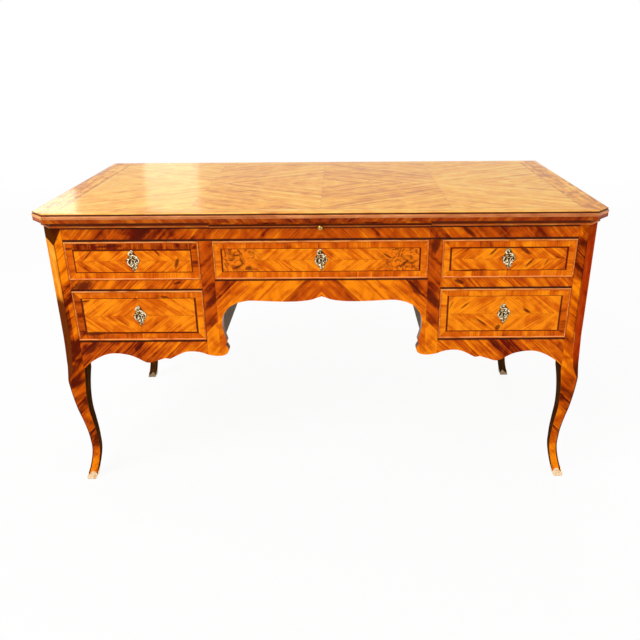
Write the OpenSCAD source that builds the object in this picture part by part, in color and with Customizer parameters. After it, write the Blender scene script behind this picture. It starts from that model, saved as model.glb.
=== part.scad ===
// A flat-topped writing desk, veneered on every side, with five drawers, a pull-out
// writing slide and four cabriole legs. Lengths are in millimetres. The origin is on the
// floor below the middle of the top, the front faces -Y and the drawers pull out that way.

/* [Overall] */
// Width of the top from left to right
desk_w = 1400; // [1340:10:1700]
// Depth of the top from front to back
desk_d = 700; // [620:10:760]
// Height of the writing surface above the floor
desk_h = 774; // [750:2:800]

/* [Top] */
// Thickness of the top with its veneer
top_t = 22; // [19:1:28]
// Length cut off each front corner of the top; the back corners are square
top_cant = 38; // [30:1:60]
// How far the top stands out past the case at the sides
side_overhang = 18; // [12:1:30]
// How far the top stands out past the case at the front and back
front_overhang = 22; // [22:1:34]
// Width of the moulded edge that frames the top
edge_w = 26; // [18:1:34]
// Radius of the rounded upper edge of the moulding
edge_r = 5; // [3:0.5:6]
// Height of the plain fascia under the rounded edge
fascia_h = 10; // [6:0.5:11]
// How far the fascia steps back behind the rounded edge
fascia_step = 1; // [0.5:0.5:4]

/* [Case] */
// Width of the corner posts, which are square in plan
post_w = 53; // [48:1:58]
// Length cut off the outer corner of each post
post_cant = 30; // [20:1:36]
// Width of the uprights on each side of the kneehole
stile_w = 32; // [24:1:40]
// Thickness of the front rails, uprights and aprons
frame_t = 22; // [20:1:26]
// Height of the frieze above the drawers
frieze_h = 51; // [46:1:62]
// Height of the rails between the upper and lower drawers
middle_rail_h = 28; // [22:1:44]
// Thickness of the side panels
side_t = 18; // [14:1:24]
// Thickness of the walls beside the kneehole
knee_wall_t = 18; // [12:1:22]
// How far those walls hang below the lower drawers
knee_wall_drop = 26; // [12:1:40]
// Thickness of the back boards
back_t = 18; // [14:1:24]
// Thickness of the boards that the side drawers run on
board_t = 10; // [8:1:16]
// Height that the drawer guides stand above those boards
guide_h = 22; // [14:1:30]
// Width of the strips that the centre drawer runs on
runner_w = 14; // [10:1:20]
// Thickness of the strips that the centre drawer runs on
runner_t = 12; // [8:1:16]
// Height of the moulding on the case just under the top
neck_h = 16; // [12:0.5:19]
// How far the bead on that moulding stands out
neck_out = 5; // [4:0.5:8]
// Radius of the bead on that moulding
neck_bead_r = 2.5; // [1.5:0.25:3.5]
// Size of the glue blocks under the top
block_s = 26; // [16:1:30]
// Length of each glue block
block_len = 80; // [40:5:110]

/* [Aprons] */
// How far the aprons hang below the lower drawers at the legs
apron_drop = 84; // [70:1:100]
// How far the centre apron hangs below the centre drawer at its corners
arch_drop = 66; // [54:1:80]
// How far the brackets reach into the kneehole from its uprights
bracket_w = 51; // [44:1:64]

/* [Legs] */
// Width of a leg at the knee
knee_w = 51; // [40:1:52]
// Width of a leg at the ankle
ankle_w = 23; // [18:1:28]
// Width of a leg at the floor
toe_w = 26; // [22:1:32]
// How far the ankle curves in from the case
ankle_in = 25; // [12:1:30]
// How far the toe sits in from the case
toe_in = 4; // [2.5:0.5:12]
// How much nearer to the desk's middle the back feet stand than the front ones
back_in = 15; // [0:1:40]
// Height over which a leg widens from the knee to the corner post
flare_h = 16; // [10:1:24]
// Height over which the cut corner of a post runs out at the knee
cant_run = 120; // [80:5:150]
// How far below the knee that cut corner ends
cant_low = 20; // [0:1:30]
// Width of the softened outer edge of a leg
arris_w = 2; // [1:0.5:4]
// Height of the metal toe caps
cap_h = 25; // [18:1:34]
// How deep their upper edge is hollowed at each corner
cap_dip = 12; // [6:1:15]
// Thickness of the metal of the toe caps
cap_t = 1.5; // [1:0.25:2.5]

/* [Drawers] */
// Width of the opening for the centre drawer
centre_w = 532; // [480:2:560]
// Height of the openings for the three upper drawers
upper_h = 100; // [84:1:110]
// Height of the openings for the two lower drawers
lower_h = 137; // [110:1:144]
// Length of the drawers from front to back
drawer_len = 500; // [420:5:540]
// Thickness of the drawer fronts
front_t = 22; // [19:1:26]
// Thickness of the drawer sides
lining_t = 10; // [8:1:13]
// Thickness of the drawer backs
drawer_back_t = 8; // [6:1:12]
// Thickness of the drawer bottoms
bottom_t = 6; // [5:0.5:9]
// Height of the drawer bottoms above the lower edge of the sides
bottom_up = 8; // [4:1:12]
// Height that the drawer sides and backs stay below the opening
lining_drop = 6; // [3:1:12]
// Gap around each drawer front in its opening
reveal = 1; // [0.6:0.1:1.6]
// Running clearance between sliding wooden parts
run_gap = 0.3; // [0.3:0.05:0.5]
// Depth of the grooves that hold the drawer bottoms
bottom_groove = 4; // [2:0.5:6]
// Play around the pieces of a drawer where they are joined
joint_gap = 0.1; // [0.05:0.05:0.2]
// Width of the bead around each drawer front
bead_w = 4; // [3:0.5:6]
// How far that bead stands out of the front
bead_out = 2.5; // [1.5:0.5:4]

/* [Writing slide] */
// How much wider the writing slide is than the opening for the centre drawer
slide_extra = 4; // [2:1:20]
// Length of the writing slide from front to back
slide_len = 420; // [320:5:480]
// Thickness of the writing slide
slide_t = 11; // [9:0.5:13]
// Height of the frieze strip above the writing slide
slide_drop = 10; // [8:0.5:12]
// Width of each bearer that carries the writing slide
bearer_w = 28; // [24:1:36]
// Depth of the groove in each bearer
groove_d = 6; // [4:0.5:9]
// Height of each bearer below the groove
bearer_lip = 11; // [8:0.5:13]
// Diameter of the ball knob of the writing slide
knob_d = 13.7; // [10:0.1:14.5]
// Length of the collar behind the ball
knob_collar = 2; // [1:0.25:2.5]

/* [Locks and mounts] */
// Width of a lock case
lock_w = 56; // [44:1:70]
// Thickness of a lock case, let into the drawer front
lock_t = 12; // [9:0.5:12]
// Height of the lock case below its keyhole
lock_below = 12; // [8:1:18]
// Width of a lock bolt
bolt_w = 18; // [12:1:24]
// Thickness of a lock bolt
bolt_t = 4; // [3:0.5:5]
// Height of a lock bolt
bolt_h = 16; // [12:1:20]
// How far a bolt rises when its lock is turned
bolt_throw = 8; // [6:0.5:9]
// Clearance around a bolt in its lock case
bolt_gap = 0.3; // [0.3:0.05:0.5]
// Clearance around a raised bolt in the rail above
mortise_gap = 1; // [0.6:0.1:2]
// Radius of the round part of a keyhole
keyhole_r = 3; // [2:0.25:3.5]
// Length of the slot below the round part of a keyhole
keyhole_slot = 8; // [5:0.5:9]
// Height of the pierced mount around each keyhole
mount_h = 58; // [50:1:70]
// Width of the pierced mount around each keyhole
mount_w = 36; // [30:1:42]
// Thickness of those mounts
mount_t = 2; // [1:0.25:3]

/* [Hidden] */
$fn = 48;
case_x = desk_w / 2 - side_overhang;
case_y = desk_d / 2 - front_overhang;
under_top = desk_h - top_t;
frieze_z = under_top - frieze_h;
upper_z = frieze_z - upper_h;
middle_z = upper_z - middle_rail_h;
lower_z = middle_z - lower_h;
neck_z = under_top - neck_h;
knee_x = centre_w / 2;
bank_in = knee_x + stile_w;
bank_out = case_x - post_w;
bank_w = bank_out - bank_in;
frame_y = case_y - frame_t;
back_y = case_y - back_t;
post_y = case_y - post_w;
bracket_x = knee_x - bracket_w;
slide_w = centre_w + slide_extra;
slide_z = under_top - slide_drop - slide_t;
bearer_z = slide_z - run_gap - bearer_lip;
slide_front = case_y + neck_out;
flare_z = lower_z - apron_drop;
knee_z = flare_z - flare_h;
// How far a cutting shape runs past what it cuts
past = 1;

veneer = [0.78, 0.40, 0.10];
top_veneer = [0.90, 0.62, 0.28];
moulding = [0.60, 0.24, 0.08];
oak = [0.72, 0.56, 0.36];
gilt = [0.80, 0.74, 0.56];
iron = [0.36, 0.35, 0.34];

// Each drawer: name, middle of its opening in x, width, lower edge and height of the opening
bank_mid = (bank_in + bank_out) / 2;
drawers = [
  ["upper_left", -bank_mid, bank_w, upper_z, upper_h],
  ["lower_left", -bank_mid, bank_w, lower_z, lower_h],
  ["centre", 0, centre_w, upper_z, upper_h],
  ["upper_right", bank_mid, bank_w, upper_z, upper_h],
  ["lower_right", bank_mid, bank_w, lower_z, lower_h]
];
drawer_pieces = ["front", "bead", "box", "lock", "bolt", "escutcheon"];

// A smooth curve through points, with steps straight pieces between each two of them
function slope(p, i) =
  i == 0 ? p[1] - p[0] : i == len(p) - 1 ? p[i] - p[i - 1] : (p[i + 1] - p[i - 1]) / 2;
function between(p, i, t) =
  (2 * t ^ 3 - 3 * t ^ 2 + 1) * p[i] + (t ^ 3 - 2 * t ^ 2 + t) * slope(p, i)
  + (3 * t ^ 2 - 2 * t ^ 3) * p[i + 1] + (t ^ 3 - t ^ 2) * slope(p, i + 1);
function smooth(p, steps = 4) =
  concat([for (i = [0:len(p) - 2]) for (s = [0:steps - 1]) between(p, i, s / steps)],
         [p[len(p) - 1]]);

// The corners of a rectangle with cut corners, a by b from its middle, cut back by c and
// grown on every side. Side 0 faces right, and the others follow anticlockwise.
function cut_rectangle(a, b, c, grow = 0) =
  let (x = a + grow, y = b + grow, k = c + grow * (2 - sqrt(2)))
  [[x, k - y], [x, y - k], [x - k, y], [k - x, y], [-x, y - k], [-x, k - y], [k - x, -y],
   [x - k, -y]];

// The outline of the top, whose back corners are square, moved out by grow
function top_outline(grow = 0) =
  let (x = desk_w / 2 + grow, y = desk_d / 2 + grow, k = top_cant + grow * (2 - sqrt(2)))
  [[x, k - y], [x, y], [-x, y], [-x, k - y], [k - x, -y], [x - k, -y]];

// One length of moulding along side k of a line, mitred at both ends between an inner and
// an outer line. In the profile, x is the distance out of that side and y is the height.
module mitred_length(line, inner, outer, k, profile) {
  j = (k + 1) % len(line);
  run = line[j] - line[k];
  extra = norm(outer[k] - inner[k]);
  intersection() {
    linear_extrude(desk_h + past) polygon([inner[k], outer[k], outer[j], inner[j]]);
    translate(line[j]) rotate(atan2(run.y, run.x) - 90) rotate([90, 0, 0])
      translate([0, 0, -extra]) linear_extrude(norm(run) + 2 * extra) polygon(profile);
  }
}

// A board with its outline in the XZ plane, from depth y0 back to y1
module upright_board(points, y0, y1) {
  translate([0, y1, 0]) rotate([90, 0, 0]) linear_extrude(y1 - y0) polygon(points);
}

module both_sides() {
  children();
  mirror([1, 0, 0]) children();
}

// The top

module top_board() {
  color(top_veneer) translate([0, 0, under_top]) linear_extrude(top_t)
    polygon(top_outline(-edge_w));
}

module top_moulding() {
  fascia_z = under_top + fascia_h;
  profile = concat(
    [[-edge_w, under_top], [-fascia_step, under_top], [-fascia_step, fascia_z],
     [0, fascia_z + fascia_step]],
    [for (a = [0:15:90]) [edge_r * (cos(a) - 1), desk_h - edge_r * (1 - sin(a))]],
    [[-edge_w, desk_h]]
  );
  line = top_outline();
  color(moulding) for (k = [0:len(line) - 1])
    mitred_length(line, top_outline(-edge_w), line, k, profile);
}

module neck_moulding() {
  flat_out = neck_out - neck_bead_r;
  profile = concat(
    [[0, neck_z]],
    [for (a = [-90:15:90])
      [flat_out + neck_bead_r * cos(a), neck_z + neck_bead_r * (1 + sin(a))]],
    [[flat_out, under_top], [0, under_top]]
  );
  gap = slide_w + 2 * (run_gap + reveal);
  line = cut_rectangle(case_x, case_y, post_cant);
  outer = cut_rectangle(case_x, case_y, post_cant, neck_out);
  color(moulding) difference() {
    for (k = [0:len(line) - 1]) mitred_length(line, line, outer, k, profile);
    translate([-gap / 2, -case_y - neck_out - past, neck_z - past])
      cube([gap, neck_out + past, neck_h + 2 * past]);
  }
}

// Triangular blocks glued in the corner between the top and the case
module glue_block() {
  rotate([90, 0, 0]) translate([0, 0, -block_len / 2]) linear_extrude(block_len)
    polygon([[0, 0], [block_s, 0], [0, -block_s]]);
}

module glue_blocks() {
  color(oak) {
    both_sides() for (y = [-post_y / 2, post_y / 2])
      translate([side_t - case_x, y, under_top]) glue_block();
    both_sides() for (side = [-1, 1])
      translate([bank_mid, side > 0 ? back_y : -frame_y, under_top]) rotate(-90 * side)
        glue_block();
    for (x = [-knee_x / 2, knee_x / 2])
      translate([x, back_y, under_top]) rotate(-90) glue_block();
  }
}

// The legs, each sawn from one post. Its outer faces stand in from the case by leg_out
// and its inner faces by leg_in, at each height.

// The shin's curve from the ankle up past the knee: share of the knee's height, and share
// of ankle_in
ankle_share = 0.3;
shin_curve = smooth([[ankle_share, 1], [0.42, 0.91], [0.54, 0.7], [0.66, 0.43], [0.78, 0.24],
                     [0.9, 0.11], [1, 0.04], [1.08, 0]]);
function toe_curve(s) = toe_in + (ankle_in - toe_in) * sin(90 * s / ankle_share);
function leg_out(z) =
  let (s = z / knee_z) s < ankle_share ? toe_curve(s) : ankle_in * lookup(s, shin_curve);
// Share of the knee's height at which a leg is thinnest
width_share = 0.2;
function leg_w(z) =
  let (s = z / knee_z)
  s < width_share ? ankle_w + (toe_w - ankle_w) * (1 - s / width_share) ^ 2
  : ankle_w + (knee_w - ankle_w) * ((s - width_share) / (1 - width_share)) ^ 2;
knee_in = leg_out(knee_z) + knee_w;
function leg_in(z) =
  z < knee_z ? leg_out(z) + leg_w(z)
  : z < flare_z ? knee_in + (post_w - knee_in) * ((z - knee_z) / flare_h) ^ 2 : post_w;
// How the cut corner widens above its end: share of cant_run, and share of the full cut
cant_curve = [[0, 0], [0.17, 0.4], [0.31, 0.68], [0.52, 0.8], [0.77, 0.93], [1, 1]];
cant_z = knee_z - cant_low;
// How far the outer corner is cut back along both faces
function leg_cant(z) =
  2 * leg_out(z) + arris_w + (post_cant - arris_w) * lookup((z - cant_z) / cant_run, cant_curve);

leg_steps = 22;
flare_steps = 4;
cant_steps = 6;
cant_top_z = cant_z + cant_run;
leg_zs = concat(
  [for (i = [0:leg_steps - 1]) knee_z * i / leg_steps],
  [for (i = [0:flare_steps - 1]) knee_z + flare_h * i / flare_steps],
  [for (i = [0:cant_steps]) flare_z + (cant_top_z - flare_z) * i / cant_steps],
  [under_top]
);

// How far a leg leans towards the desk's middle at each height: in full up to the ankle,
// and not at all at the knee
function lean(z, foot_in) =
  let (s = (z / knee_z - ankle_share) / (1 - ankle_share))
  foot_in * (s < 0 ? 1 : s > 1 ? 0 : (1 + cos(180 * s)) / 2);

module leg_profile(grow, foot_in) {
  last = len(leg_zs) - 1;
  polygon(concat(
    [for (z = leg_zs) [leg_out(z) + lean(z, foot_in) - grow, z]],
    [for (i = [last:-1:0]) [leg_in(leg_zs[i]) + lean(leg_zs[i], foot_in) + grow, leg_zs[i]]]
  ));
}

module leg_side(grow, foot_in) {
  reach = post_w + back_in + grow;
  rotate([90, 0, 0]) translate([0, 0, -reach])
    linear_extrude(reach + grow) leg_profile(grow, foot_in);
}

// A leg with the case's corner at the origin and the case towards +X and +Y. Its foot
// stands in towards +X by foot_in.
module leg_blank(foot_in, grow = 0) {
  difference() {
    intersection() {
      leg_side(grow, foot_in);
      mirror([1, -1, 0]) leg_side(grow, 0);
    }
    rotate([0, 0, 45]) rotate([90, 0, 0]) translate([0, 0, -post_w])
      linear_extrude(2 * post_w) polygon(concat(
        [[-post_w, -past]],
        [[(leg_cant(0) + foot_in) / sqrt(2) - grow, -past]],
        [for (z = leg_zs) [(leg_cant(z) + lean(z, foot_in)) / sqrt(2) - grow, z]],
        [[leg_cant(under_top) / sqrt(2) - grow, under_top + past],
         [-post_w, under_top + past]]
      ));
  }
}

module leg(foot_in) {
  color(veneer) difference() {
    leg_blank(foot_in);
    translate([-past, -past, -past]) cube([2 * post_w, 2 * post_w, cap_t + past]);
  }
}

// A toe cap: a thin cast shoe with a sole. Its upper edge rises to a tongue on each face
// and is hollowed at the corners.
module toe_cap(foot_in) {
  dip_r = toe_w / 3;
  middle = leg_out(cap_h) + leg_w(cap_h) / 2;
  color(gilt) difference() {
    intersection() {
      leg_blank(foot_in, cap_t);
      cube([2 * post_w, 2 * post_w, cap_h]);
    }
    difference() {
      leg_blank(foot_in);
      translate([-past, -past, -past]) cube([2 * post_w, 2 * post_w, cap_t + past]);
    }
    for (turn = [-45, 45])
      translate([middle + foot_in, middle, cap_h - cap_dip + dip_r]) rotate([90, 0, turn])
        cylinder(r = dip_r, h = 2 * post_w, center = true);
  }
}

module at_corner(side, end) {
  translate([side * case_x, end * case_y, 0])
    mirror([side > 0 ? 1 : 0, 0, 0]) mirror([0, end > 0 ? 1 : 0, 0]) children();
}

module toe_caps() {
  for (side = [-1, 1]) {
    at_corner(side, -1) toe_cap(0);
    at_corner(side, 1) toe_cap(back_in);
  }
}

// The outlines of the aprons. An x is a share of the opening's width, and a drop is a
// share of apron_drop or arch_drop.

bank_tooth = [[0, 0.505], [0.06, 0.42], [0.13, 0.386], [0.2, 0.43], [0.305, 0.64]];
bank_lobe = [[0.345, 0.615], [0.41, 0.695], [0.472, 0.77], [0.517, 0.72], [0.56, 0.615],
             [0.625, 0.5], [0.725, 0.437], [0.81, 0.48], [0.897, 0.64], [0.955, 0.8], [1, 0.97]];
bank_outline = concat(smooth(bank_tooth), smooth(bank_lobe));
function bank_point(p) = [bank_in + bank_w * p.x, lower_z - apron_drop * p.y];

arch_outline = smooth([[1, 0.955], [0.89, 0.872], [0.8, 0.862], [0.52, 0.903], [0.36, 0.91],
                       [0.235, 0.89], [0.12, 0.835], [0.05, 0.755], [0, 0.7]]);
function arch_point(p) = [bracket_x * p.x, upper_z - arch_drop * p.y];

// The foot of each upright. Its reach into the kneehole is a share of bracket_w, and its
// drop is a share of apron_drop.
foot_outline = smooth([[0, 0.548], [0.18, 0.525], [0.33, 0.47], [0.42, 0.385], [0.43, 0.33],
                       [0.38, 0.25]]);
foot_notch = [0.29, 0.163];
foot_point = [0.36, 0.058];
function foot_at(p) = [knee_x - bracket_w * p.x, lower_z - apron_drop * p.y];

// The edge of the bracket above the foot: its reach, and its share of the rise to the top
bracket_outline = smooth([[0.38, 0], [0.29, 0.17], [0.215, 0.36], [0.205, 0.52], [0.245, 0.66],
                          [0.33, 0.78], [0.6, 0.965], [0.85, 1.04]]);
bracket_foot_z = foot_at(foot_point).y;
bracket_top_share = 1.075;
bracket_top_z = upper_z - bracket_top_share * arch_drop;
function bracket_point(p) =
  [knee_x - bracket_w * p.x, bracket_foot_z + (bracket_top_z - bracket_foot_z) * p.y];

side_outline = smooth([[0, 0.77], [0.13, 0.72], [0.25, 0.6], [0.45, 0.48], [0.66, 0.52],
                       [0.84, 0.68], [0.94, 0.84], [1, 1]]);

bank_edge = [for (p = bank_outline) bank_point(p)];
bracket_edge = concat([for (p = foot_outline) foot_at(p)], [foot_at(foot_notch)],
                      [for (p = bracket_outline) bracket_point(p)],
                      [arch_point(arch_outline[0])]);
// The bottom of each upright, as shares of its width and of apron_drop
stile_foot = [for (p = [[1, 0.505], [0.67, 0.535], [0.25, 0.55]])
  [knee_x + stile_w * p.x, lower_z - apron_drop * p.y]];
arch_edge = [for (p = arch_outline) arch_point(p)];

module apron() {
  upright_board(concat(bank_edge, [[bank_out, lower_z], [bank_in, lower_z]]),
                -case_y, -frame_y);
}

module stile() {
  upright_board(concat(stile_foot, [bracket_edge[0], [knee_x, frieze_z], [bank_in, frieze_z]]),
                -case_y, -frame_y);
}

module bracket() {
  upright_board(concat(bracket_edge, [[bracket_x, upper_z], [knee_x, upper_z]]),
                -case_y, -frame_y);
}

function mirrored(p) = [for (i = [len(p) - 2:-1:0]) [-p[i].x, p[i].y]];

module arch_board(top_z, y0, y1) {
  upright_board(concat(arch_edge, mirrored(arch_edge),
                       [[-bracket_x, top_z], [bracket_x, top_z]]), y0, y1);
}

module centre_apron() {
  color(veneer) arch_board(upper_z, -case_y, -frame_y);
}

module knee_brackets() {
  color(veneer) both_sides() bracket();
}

// A pocket in a rail's underside for a raised lock bolt
module mortise(d) {
  w = bolt_w + 2 * mortise_gap;
  t = bolt_t + 2 * mortise_gap;
  translate([d[1] - w / 2, bolt_y - t / 2, d[3] + d[4] - past])
    cube([w, t, bolt_throw + mortise_gap + past]);
}

module frieze_rail() {
  color(veneer) difference() {
    translate([-bank_out, -case_y, frieze_z]) cube([2 * bank_out, frame_t, frieze_h]);
    translate([-slide_w / 2 - run_gap, -case_y - past, slide_z - run_gap])
      cube([slide_w + 2 * run_gap, frame_t + 2 * past, slide_t + 2 * run_gap]);
    for (d = drawers) if (d[3] == upper_z) mortise(d);
  }
}

module middle_rails() {
  color(veneer) difference() {
    both_sides() translate([bank_in, -case_y, middle_z])
      cube([bank_w, frame_t, middle_rail_h]);
    for (d = drawers) if (d[3] == lower_z) mortise(d);
  }
}

// The sides, the back and the inner walls

module side_panel() {
  edge = concat(
    [for (i = [len(side_outline) - 1:-1:1]) [-post_y * side_outline[i].x, side_outline[i].y]],
    [for (p = side_outline) [post_y * p.x, p.y]]
  );
  color(veneer) translate([case_x - side_t, 0, 0]) rotate([90, 0, 90])
    linear_extrude(side_t) polygon(concat(
      [for (p = edge) [p.x, lower_z - apron_drop * p.y]],
      [[post_y, under_top], [-post_y, under_top]]
    ));
}

module back_board() {
  edge = concat([for (i = [len(bank_edge) - 1:-1:0]) bank_edge[i]], stile_foot, bracket_edge);
  color(veneer) upright_board(concat(edge, [[bracket_x, under_top], [bank_out, under_top]]),
                              back_y, case_y);
}

module back_board_centre() {
  color(veneer) arch_board(under_top, back_y, case_y);
}

module bead_ring(w, h, depth) {
  difference() {
    translate([-w / 2, 0, 0]) cube([w, depth, h]);
    translate([-w / 2 + bead_w, -past, bead_w])
      cube([w - 2 * bead_w, depth + 2 * past, h - 2 * bead_w]);
  }
}

module back_beads() {
  color(moulding) for (d = drawers)
    translate([d[1], case_y, d[3] + reveal])
      bead_ring(d[2] - 2 * reveal, d[4] - 2 * reveal, bead_out);
}

module knee_wall() {
  color(oak) translate([knee_x, -frame_y, lower_z - knee_wall_drop])
    cube([knee_wall_t, frame_y + back_y, bearer_z - lower_z + knee_wall_drop]);
}

module dust_boards() {
  color(oak) both_sides() for (z = [upper_z, lower_z])
    translate([bank_in, -frame_y, z - board_t]) cube([bank_w, frame_y + back_y, board_t]);
}

module drawer_runners() {
  wall_face = knee_x + knee_wall_t;
  guide_z = board_t + guide_h;
  color(oak) both_sides() {
    for (z = [upper_z, lower_z]) {
      translate([bank_out, -post_y, z - board_t])
        cube([post_w - side_t, 2 * post_y, guide_z]);
      translate([wall_face, -frame_y, z - board_t])
        cube([bank_in - wall_face, frame_y + back_y, guide_z]);
    }
    translate([knee_x - runner_w, -frame_y, upper_z - runner_t])
      cube([runner_w, frame_y + back_y, runner_t]);
  }
}

// The writing slide

module slide_bearers() {
  inner = slide_w / 2 - groove_d;
  groove = slide_w / 2 + run_gap;
  color(oak) both_sides() upright_board(
    [[inner, bearer_z], [inner + bearer_w, bearer_z], [inner + bearer_w, under_top],
     [inner, under_top], [inner, slide_z + slide_t + run_gap],
     [groove, slide_z + slide_t + run_gap], [groove, slide_z - run_gap],
     [inner, slide_z - run_gap]], -frame_y, back_y);
}

module writing_slide() {
  color(veneer) translate([-slide_w / 2, -slide_front, slide_z])
    cube([slide_w, slide_len, slide_t]);
}

module slide_knob() {
  color(gilt) translate([0, -slide_front, slide_z + slide_t / 2]) rotate([90, 0, 0]) {
    cylinder(d = knob_d / 2, h = knob_collar + knob_d / 4);
    translate([0, 0, knob_collar + knob_d / 2]) sphere(d = knob_d);
  }
}

// The drawers. Each is placed by its entry in the drawers list.

function key_z(d) = d[3] + d[4] / 2;
// Thickness of the front and back plates of a lock case
plate_t = 2.5;
bolt_y = -case_y + front_t - lock_t + plate_t + bolt_gap + bolt_t / 2;

// A keyhole from outside the mount to the back plate of the lock
module keyhole(d) {
  depth = mount_t + past + front_t - plate_t;
  translate([d[1], -case_y - mount_t - past, key_z(d)]) rotate([-90, 0, 0]) {
    cylinder(r = keyhole_r, h = depth);
    translate([-keyhole_r / 2, 0, 0]) cube([keyhole_r, keyhole_slot, depth]);
  }
}

module lock_case(d) {
  z0 = key_z(d) - lock_below;
  translate([d[1] - lock_w / 2, -case_y + front_t - lock_t, z0])
    cube([lock_w, lock_t, d[3] + d[4] - reveal - z0]);
}

module drawer_front(d) {
  w = d[2] - 2 * reveal;
  h = d[4] - 2 * reveal;
  color(veneer) difference() {
    translate([d[1] - w / 2, -case_y, d[3] + reveal]) cube([w, front_t, h]);
    translate([d[1], -case_y - past, d[3] + reveal]) bead_ring(w, h, bead_w + past);
    lock_case(d);
    keyhole(d);
  }
}

module drawer_bead(d) {
  color(moulding) translate([d[1], -case_y - bead_out, d[3] + reveal])
    bead_ring(d[2] - 2 * reveal, d[4] - 2 * reveal, bead_w + bead_out);
}

// Two sides, a back between them, and a bottom that lies in grooves in the sides and
// passes under the back
module drawer_box(d) {
  w = d[2] - 2 * reveal;
  side_h = d[4] - run_gap - lining_drop;
  length = drawer_len - front_t;
  between = w - 2 * lining_t;
  back_z = bottom_up + bottom_t + joint_gap;
  panel_w = between + 2 * (bottom_groove - joint_gap);
  color(oak) translate([d[1], -case_y + front_t, d[3] + run_gap]) {
    difference() {
      for (x = [-w / 2, w / 2 - lining_t])
        translate([x, 0, 0]) cube([lining_t, length, side_h]);
      translate([-between / 2 - bottom_groove, -past, bottom_up - joint_gap])
        cube([between + 2 * bottom_groove, length + 2 * past, bottom_t + 2 * joint_gap]);
    }
    translate([joint_gap - between / 2, length - drawer_back_t, back_z])
      cube([between - 2 * joint_gap, drawer_back_t, side_h - back_z]);
    translate([-panel_w / 2, 0, bottom_up]) cube([panel_w, length, bottom_t]);
  }
}

module lock(d) {
  top = d[3] + d[4] - reveal;
  w = bolt_w + 2 * bolt_gap;
  t = bolt_t + 2 * bolt_gap;
  color(iron) difference() {
    lock_case(d);
    translate([d[1] - w / 2, bolt_y - t / 2, top - bolt_h - bolt_gap])
      cube([w, t, bolt_h + bolt_gap + past]);
    keyhole(d);
  }
}

module bolt(d) {
  top = d[3] + d[4] - reveal;
  color(iron) translate([d[1] - bolt_w / 2, bolt_y - bolt_t / 2, top - bolt_h])
    cube([bolt_w, bolt_t, bolt_h]);
}

// A pierced mount of overlapping scrolls round the keyhole. Each scroll is a ring: its
// middle as shares of the mount's width and height, and its radius as a share of width.
scrolls = [[0, 0.36, 0.2], [-0.2, 0.17, 0.25], [0.22, 0.12, 0.24], [-0.25, -0.08, 0.22],
           [0.2, -0.15, 0.24], [-0.05, -0.27, 0.2], [0.07, -0.39, 0.16]];
scroll_w = 0.09;
// The plate round the keyhole, in keyhole radii
key_plate_r = 2.2;

module escutcheon(d) {
  color(gilt) difference() {
    translate([d[1], -case_y, key_z(d)]) rotate([90, 0, 0]) linear_extrude(mount_t) {
      circle(r = key_plate_r * keyhole_r);
      for (s = scrolls) translate([mount_w * s.x, mount_h * s.y]) difference() {
        circle(r = mount_w * s.z);
        circle(r = mount_w * (s.z - scroll_w));
      }
    }
    keyhole(d);
  }
}

top_board();
top_moulding();
neck_moulding();
at_corner(-1, -1) leg(0);  // leg_front_left
at_corner(1, -1) leg(0);  // leg_front_right
at_corner(-1, 1) leg(back_in);  // leg_back_left
at_corner(1, 1) leg(back_in);  // leg_back_right
toe_caps();
frieze_rail();
color(veneer) mirror([1, 0, 0]) stile();  // stile_left
color(veneer) stile();  // stile_right
middle_rails();
centre_apron();
knee_brackets();
color(veneer) mirror([1, 0, 0]) apron();  // apron_left
color(veneer) apron();  // apron_right
mirror([1, 0, 0]) side_panel();  // side_panel_left
side_panel();  // side_panel_right
mirror([1, 0, 0]) back_board();  // back_board_left
back_board_centre();
back_board();  // back_board_right
back_beads();
mirror([1, 0, 0]) knee_wall();  // knee_wall_left
knee_wall();  // knee_wall_right
dust_boards();
drawer_runners();
slide_bearers();
glue_blocks();
writing_slide();
slide_knob();
for (d = drawers) {
  drawer_front(d);
  drawer_bead(d);
  drawer_box(d);
  lock(d);
  bolt(d);
  escutcheon(d);
}
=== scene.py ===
import math

import bmesh
import bpy
import numpy as np
from mathutils import Matrix, Vector


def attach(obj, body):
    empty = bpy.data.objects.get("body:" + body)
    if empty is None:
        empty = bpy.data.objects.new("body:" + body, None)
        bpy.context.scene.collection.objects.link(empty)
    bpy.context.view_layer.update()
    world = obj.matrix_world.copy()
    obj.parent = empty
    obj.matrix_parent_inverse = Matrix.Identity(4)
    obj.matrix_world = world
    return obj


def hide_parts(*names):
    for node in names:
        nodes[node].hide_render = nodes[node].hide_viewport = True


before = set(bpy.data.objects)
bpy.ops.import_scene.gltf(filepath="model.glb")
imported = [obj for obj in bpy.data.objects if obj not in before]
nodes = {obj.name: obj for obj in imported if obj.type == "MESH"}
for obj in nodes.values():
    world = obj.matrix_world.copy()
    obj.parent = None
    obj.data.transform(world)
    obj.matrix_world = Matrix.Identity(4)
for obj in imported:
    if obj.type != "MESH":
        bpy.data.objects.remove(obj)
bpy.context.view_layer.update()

# The studio. A pale floor and a white surround, a camera at the place and angle of the
# photograph, and soft lamps. None of it belongs to the desk.
scene = bpy.context.scene
scene.view_settings.view_transform = "Standard"

camera_place = Vector((0.0466, -1.9203, 1.1630))
camera_pitch, camera_roll = math.radians(-22.92), math.radians(-0.38)
image_width, focal_pixels, axis_pixel = 640, 675.5, 340.2

forward = Vector((0, math.cos(camera_pitch), math.sin(camera_pitch)))
level_up = Vector((1, 0, 0)).cross(forward)
right = math.cos(camera_roll) * Vector((1, 0, 0)) + math.sin(camera_roll) * level_up
up = right.cross(forward)
lens = bpy.data.cameras.new("camera")
lens.sensor_width = 36
lens.lens = lens.sensor_width * focal_pixels / image_width
lens.shift_x = (image_width / 2 - axis_pixel) / image_width
camera = bpy.data.objects.new("camera", lens)
camera.matrix_world = Matrix.Translation(camera_place) @ Matrix((right, up, -forward)).transposed().to_4x4()
scene.collection.objects.link(camera)
scene.camera = camera


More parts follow.
